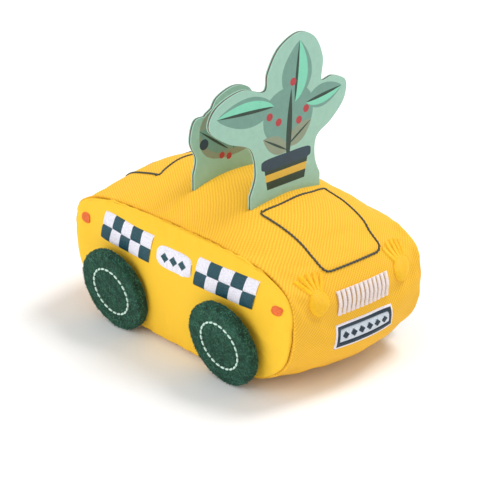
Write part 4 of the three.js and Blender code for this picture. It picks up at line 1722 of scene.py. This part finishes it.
    def build(self) -> None:
        """Makes the felt disc and its ring of stitches."""
        self.felt()
        angle = np.arange(self.ring_points) / self.ring_points * TAU
        far = np.full_like(angle, self.ring_radius)
        places = self.place(far, angle, np.full_like(angle, self.thickness - self.thread_sunk))
        ring = self.tools.stitches.sew(
            f"{self.node}_ring", places, np.tile(self.axis, (self.ring_points, 1)), RING_THREAD,
            Count=self.stitches, Length=self.stitch * MM, Radius=self.thread * MM,
            Slant=math.radians(self.slant_deg))
        settle_piece(ring, "ring_thread", f"{self.node}_stitches")


class Ink(Enum):
    """Inks of the printed panels."""

    BORDER = PrintedCloth("ink_sea_green", "#a6d2c0", "#8fbca9")
    TEAL = PrintedCloth("ink_teal", "#78a698", "#638f81")
    MINT = PrintedCloth("ink_mint", "#86dfbf", "#73c9aa")
    DARK = PrintedCloth("ink_dark_green", "#214434", "#152c20")
    NAVY = PrintedCloth("ink_navy", "#254557", "#182f3d")
    YELLOW = PrintedCloth("ink_yellow", "#e6bf48", "#d3a631")
    RED = PrintedCloth("ink_red", "#c23a40", "#a0282f")
    OLIVE = PrintedCloth("ink_olive", "#94a088", "#7f8c74")


# Points along a leaf, the power that sets its belly nearer to its foot, and the one that fills its ends
LEAF_POINTS, LEAF_BELLY, LEAF_FULLNESS = 19, 0.85, 0.8
OVAL_POINTS = 32


def leaf_shape(base: tuple[float, float], tip: tuple[float, float], width: float,
               sides: int = 0) -> np.ndarray:
    """Draws a pointed leaf, or one half of it.

    Args:
        base: Foot of the leaf.
        tip: Tip of the leaf.
        width: Full width.
        sides: 0 for both halves, -1 or 1 for one.

    Returns:
        Outline of the leaf.
    """
    base, tip = np.array(base), np.array(tip)
    along = tip - base
    across = np.array([-along[1], along[0]]) / np.linalg.norm(along)
    share = np.linspace(0, 1, LEAF_POINTS)
    half = width / 2 * np.sin(math.pi * share ** LEAF_BELLY) ** LEAF_FULLNESS
    middle = base + share[:, None] * along
    left = middle + half[:, None] * across * (0 if sides < 0 else 1)
    right = middle - half[:, None] * across * (0 if sides > 0 else 1)
    return np.concatenate([left, right[-2:0:-1]])


def round_shape(centre: tuple[float, float], half: tuple[float, float], power: float = 2.0) -> np.ndarray:
    """Draws an oval or a rounded block.

    Args:
        centre: Its middle.
        half: Its half sizes.
        power: Squareness of its outline.

    Returns:
        Outline of the shape.
    """
    turn = np.arange(OVAL_POINTS) / OVAL_POINTS * TAU
    c, s = np.cos(turn), np.sin(turn)
    size = (np.abs(c) ** power + np.abs(s) ** power) ** (-1 / power)
    return np.stack([centre[0] + half[0] * size * c, centre[1] + half[1] * size * s], axis=-1)


@dataclass
class StandingPanel:
    """A printed panel of two faces on a core, which stands in a slit of the roof."""

    name: str
    shape: BodyShape
    x: float
    half_width: float
    edge: tuple[tuple[float, float], ...]
    motif: tuple[tuple[Ink, np.ndarray], ...]
    hinge_rise: float = 1.0
    lift: float = 1.3
    sunk: float = 1.6
    face_mm: float = 0.5
    core_mm: float = 0.8
    core_gap: float = 0.02
    bow: float = 1.0
    bow_half: float = 38.0
    bow_level: float = 0.25
    bow_start: float = 12.0
    mesh_mm: float = 2.6
    bend_mesh_mm: float = 0.9
    bend_mesh_top: float = 6.0
    mesh_shift: tuple[float, float] = (0.13, 0.07)
    bend_below: float = 1.0
    bend_above: float = 2.5
    foot_points: int = 27
    curve_points: int = 8

    @property
    def hinge(self) -> float:
        """Height of the bending line."""
        return float(self.shape.roof_height(self.x, np.zeros(1))[0]) + self.hinge_rise

    def outline(self) -> np.ndarray:
        """Gives the panel's outline, with a foot that follows the roof, as places across and up.

        Returns:
            Places round the outline.
        """
        foot = np.linspace(-self.half_width, self.half_width, self.foot_points)
        depth = self.shape.roof_height(self.x, foot) - self.sunk - self.hinge - self.lift
        edge = np.array([(self.half_width, 0.0), *self.edge, (-self.half_width, 0.0)])
        padded = np.concatenate([edge[:1], edge, edge[-1:]])
        share = np.linspace(0, 1, self.curve_points, endpoint=False)[:, None]
        curve = []
        for a, b, c, d in zip(padded[:-3], padded[1:-2], padded[2:-1], padded[3:]):
            first, last = (c - a) / 2, (d - b) / 2
            curve.append((2 * b - 2 * c + first + last) * share ** 3
                         + (3 * c - 3 * b - 2 * first - last) * share ** 2 + first * share + b)
        return np.concatenate([np.stack([foot, depth], axis=-1), *curve, edge[-1:]])

    @staticmethod
    def turns_left(shape: np.ndarray) -> bool:
        """Tells whether an outline runs anticlockwise."""
        after = np.roll(shape, -1, axis=0)
        return float(np.sum(shape[:, 0] * after[:, 1] - after[:, 0] * shape[:, 1])) > 0

    def spread(self) -> tuple[np.ndarray, list[tuple[int, ...]], np.ndarray]:
        """Cuts the panel and its print into triangles.

        Returns:
            Places, triangles and the number of the print's top layer at each, 0 for the border.
        """
        rim = self.outline()
        shapes = [rim] + [shape for _, shape in self.motif]
        shapes = [shape if self.turns_left(shape) else shape[::-1] for shape in shapes]
        places = [Vector(p) for shape in shapes for p in shape]
        ends = np.cumsum([len(shape) for shape in shapes])
        faces = [list(range(end - len(shape), end)) for end, shape in zip(ends, shapes)]
        low, high = rim.min(axis=0), rim.max(axis=0)
        fine = np.arange(low[1], self.bend_mesh_top, self.bend_mesh_mm)
        heights = np.concatenate([fine, np.arange(self.bend_mesh_top, high[1], self.mesh_mm)])
        shift = Vector(self.mesh_shift)
        places += [Vector((p, q)) + shift for p in np.arange(low[0], high[0], self.mesh_mm) for q in heights]
        points, _, cut, _, _, source = delaunay_2d_cdt(places, [], faces, 1, 1e-4)
        kept = [(tuple(face), max(layers)) for face, layers in zip(cut, source) if layers]
        return np.array(points), [face for face, _ in kept], np.array([layer for _, layer in kept])

    def slab(self, name: str, places: np.ndarray, faces: list, slots: np.ndarray, finishes: list[Finish],
             near: float, far: float) -> bpy.types.Object:
        """Makes a closed layer of the panel.

        Args:
            name: Name of the layer.
            places: Places across and up.
            faces: Triangles.
            slots: Finish number of each triangle.
            finishes: Finishes of the layer, the plain one first.
            near: Printed surface, from the panel's middle.
            far: Other surface, from the panel's middle.

        Returns:
            The layer.
        """
        used = sorted({i for face in faces for i in face})
        order = {old: new for new, old in enumerate(used)}
        flat = places[used]
        faces = [tuple(order[i] for i in face) for face in faces]
        up = flat[:, 1] + self.hinge + self.lift
        curl = self.bow * ((flat[:, 0] / self.bow_half) ** 2 - self.bow_level)
        curl *= np.clip(flat[:, 1] / self.bow_start, 0, 1)
        layers = [np.stack([self.x + depth - curl, flat[:, 0], up], axis=-1) for depth in (near, far)]
        count = len(flat)
        sides = dict.fromkeys(side for face in faces for side in zip(face, face[1:] + face[:1]))
        walls = [(b, a, a + count, b + count) for a, b in sides if (b, a) not in sides]
        back = [tuple(i + count for i in reversed(face)) for face in faces]
        indices = list(slots) + [0] * (len(back) + len(walls))
        piece = make_mesh(name, np.concatenate(layers), faces + back + walls, finishes, indices)
        face_outwards(piece)
        piece.data.polygons.foreach_set("use_smooth", [False] * len(piece.data.polygons))
        return piece

    def build(self) -> None:
        """Makes the two printed faces and the core."""
        places, faces, layers = self.spread()
        inks = [Ink.BORDER] + [ink for ink, _ in self.motif]
        palette = list(dict.fromkeys(inks))
        slots = np.array([palette.index(inks[layer]) for layer in layers])
        plain = np.zeros_like(slots)
        prints = [ink.value for ink in palette]
        half = self.core_mm / 2
        face, inner = half + self.face_mm, half - self.core_gap
        for name, slot, parts, indices, finishes, near, far in (
                ("front_print", "panel_print", ("front_face", "hem"), slots, prints, face, half),
                ("back_print", "panel_print", ("back_face",), slots, prints, -face, -half),
                ("core_sheet", "panel_core", ("core",), plain, [CUT_EDGE], inner, -inner)):
            piece = self.slab(f"{self.name}_{name}", places, faces, indices, finishes, near, far)
            (self.hinge - self.bend_below) * MM
            (self.hinge + self.bend_above) * MM
            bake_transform(piece)
            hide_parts(*(f"{self.name}_{part}" for part in parts))
            LOG.info("%s: %d faces", piece.name, len(piece.data.polygons))


def tall_motif() -> tuple[tuple[Ink, np.ndarray], ...]:
    """Draws the print of the tall panel: a three-leaved plant in a banded pot.

    Returns:
        Ink and outline of each layer, the top one last.
    """
    leaves = (((4.5, 35.5), (7.0, 61.5), 17.0), ((-7.0, 36.5), (-37.5, 38.5), 13.0),
              ((11.0, 33.5), (32.0, 35.5), 10.0))
    mint_share, leaf_vein, twig_vein, berry = 0.72, 1.5, 1.0, 1.7
    layers = [(Ink.TEAL, round_shape((1.0, 31.0), (14.0, 12.0), 2.3))]
    for base, tip, width in leaves:
        layers.append((Ink.TEAL, leaf_shape(base, tip, width)))
        layers.append((Ink.MINT, leaf_shape(base, tip, width * mint_share, -1)))
        layers.append((Ink.DARK, leaf_shape(base, tip, leaf_vein)))
    for base, tip, width in (((0.5, 15.5), (-13.0, 23.5), 7.5), ((0.5, 17.5), (14.0, 25.5), 7.5)):
        layers.append((Ink.OLIVE, leaf_shape(base, tip, width)))
        layers.append((Ink.DARK, leaf_shape(base, tip, twig_vein)))
    layers.append((Ink.DARK, leaf_shape((0.5, 9.0), (2.5, 42.0), 3.0)))
    layers.append((Ink.DARK, np.array([[-10.5, 0.6], [10.5, 0.6], [12.5, 11.5], [-12.5, 11.5]])))
    layers.append((Ink.NAVY, round_shape((0.0, 11.8), (14.0, 2.7), 5.0)))
    layers.append((Ink.YELLOW, np.array([[-11.2, 4.2], [11.2, 4.2], [11.8, 7.4], [-11.8, 7.4]])))
    for spot in ((-4.5, 29.0), (7.0, 27.0), (3.5, 44.5), (-9.5, 32.5), (11.0, 31.0)):
        layers.append((Ink.RED, round_shape(spot, (berry, berry))))
    return tuple(layers)


def low_motif() -> tuple[tuple[Ink, np.ndarray], ...]:
    """Draws the print of the low panel: a small bush with berries.

    Returns:
        Ink and outline of each layer, the top one last.
    """
    vein, berry = 1.1, 1.5
    layers = [(Ink.OLIVE, round_shape((-1.0, 16.0), (18.0, 12.5), 2.6))]
    for base, tip, width in (((0.0, 6.0), (0.0, 30.5), 12.0), ((-3.0, 7.0), (-19.0, 19.0), 9.0),
                             ((3.0, 7.0), (18.5, 19.0), 9.0)):
        layers.append((Ink.TEAL, leaf_shape(base, tip, width)))
        layers.append((Ink.DARK, leaf_shape(base, tip, vein)))
    layers.append((Ink.NAVY, round_shape((-16.5, 12.5), (2.4, 2.4))))
    for spot in ((-6.5, 5.0), (-2.5, 3.6), (9.0, 5.2)):
        layers.append((Ink.RED, round_shape(spot, (berry, berry))))
    return tuple(layers)

# Outlines of the standing panels above the roof, across and up, from the left of the foot round to the right
TALL_EDGE = (
    (16.5, 8), (17.5, 17), (26, 22), (33.5, 29), (34.5, 37), (27, 41), (20, 41), (20.5, 51), (15.5, 61),
    (6.5, 64.8), (-4, 60.5), (-10, 51.5), (-12, 44), (-24, 47.5), (-37, 43.5), (-41, 35), (-32, 27),
    (-19.5, 21), (-16.5, 9))
LOW_EDGE = (
    (20, 6), (23, 14), (21, 23), (13, 26.5), (8, 32), (0, 34), (-9, 31), (-13.5, 25), (-21, 24),
    (-23.5, 15), (-20.5, 7))


@dataclass
class Studio:
    """Pale floor, soft light and the camera of the photograph."""

    azimuth_deg: float = 47.1
    elevation_deg: float = 24.84
    distance: float = 1.0
    target: tuple[float, float, float] = (0.0, 0.0, 0.040)
    lens_mm: float = 176.9
    sensor_mm: float = 36.0
    shift: tuple[float, float] = (-0.0102, -0.0019)
    surround: float = 0.66
    # Name, place, size and power of each lamp
    lamps: tuple[tuple[str, tuple[float, float, float], float, float], ...] = (
        ("key", (-0.3, -1.65, 0.65), 1.7, 13.5), ("fill", (1.4, -0.5, 0.7), 1.0, 0.5),
        ("top", (0.2, 0.75, 1.35), 0.7, 15.0))
    floor_half_mm: float = 4000.0
    # Depth and rise of the floor, from the front to the top of the backdrop
    floor_profile_mm: tuple[tuple[float, float], ...] = (
        (-3000.0, 0.0), (2500.0, 0.0), (3000.0, 130.0), (3300.0, 600.0), (3400.0, 2600.0))

    def build(self) -> None:
        """Sets up the floor, the lights and the camera."""
        self.floor()
        self.lights()
        self.camera()

    def floor(self) -> None:
        """Lays a wide pale floor that rises into a backdrop."""
        paper = Finish("backdrop_paper", "#fbfbfb", "#f7f7f7", roughness=0.9, sheen=0.0)
        direction = math.radians(self.azimuth_deg)
        back = np.array([-math.sin(direction), math.cos(direction)])
        wide = np.array([back[1], -back[0]]) * self.floor_half_mm
        points = [[*(back * depth + wide * way), rise]
                  for depth, rise in self.floor_profile_mm for way in (-1, 1)]
        floor = make_mesh("floor", np.array(points), grid_faces(len(self.floor_profile_mm), 2), [paper])

    def lights(self) -> None:
        """Hangs a large soft key on the left, a weak fill on the right and one behind, all in white."""
        world = bpy.data.worlds.new("surround")
        world.use_nodes = True
        surround = world.node_tree.nodes["Background"].inputs
        surround["Color"].default_value = (1.0, 1.0, 1.0, 1.0)
        surround["Strength"].default_value = self.surround
        bpy.context.scene.world = world
        for name, place, size, power in self.lamps:
            lamp = bpy.data.lights.new(name, "AREA")
            lamp.shape = "DISK"
            lamp.size = size
            lamp.energy = power
            stand = bpy.data.objects.new(name, lamp)
            bpy.context.scene.collection.objects.link(stand)
            stand.location = place
            stand.rotation_euler = (Vector(self.target) - Vector(place)).to_track_quat("-Z", "Y").to_euler()

    def camera(self) -> None:
        """Sets the camera where the photograph was taken from."""
        azimuth, elevation = math.radians(self.azimuth_deg), math.radians(self.elevation_deg)
        away = Vector((math.sin(azimuth) * math.cos(elevation), -math.cos(azimuth) * math.cos(elevation),
                       math.sin(elevation)))
        lens = bpy.data.cameras.new("camera")
        lens.lens = self.lens_mm
        lens.sensor_width = self.sensor_mm
        lens.shift_x, lens.shift_y = self.shift
        stand = bpy.data.objects.new("camera", lens)
        bpy.context.scene.collection.objects.link(stand)
        stand.location = Vector(self.target) + away * self.distance
        stand.rotation_euler = (-away).to_track_quat("-Z", "Y").to_euler()
        bpy.context.scene.camera = stand
        bpy.context.scene.view_settings.view_transform = "Standard"


def main() -> None:
    """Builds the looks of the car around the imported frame."""
    logging.basicConfig(level=logging.INFO, format="%(name)s: %(message)s")
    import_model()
    Studio().build()
    shape = BodyShape()
    tools = Tools()
    body = StuffedBody(shape)
    body.build()
    body.dress()
    work = Embroidery(body.cloth, tools)
    for side in Side:
        SideEmbroidery(side, shape, work).build()
        for end in End:
            FeltWheel(side, end, tools).build()
    FrontEmbroidery(shape, work).build()
    LineStitching(shape, body.cloth, tools).build()
    StandingPanel("tall_panel", shape, *TALL_SLIT, TALL_EDGE, tall_motif()).build()
    StandingPanel("low_panel", shape, *LOW_SLIT, LOW_EDGE, low_motif()).build()


if __name__ == "__main__":
    main()
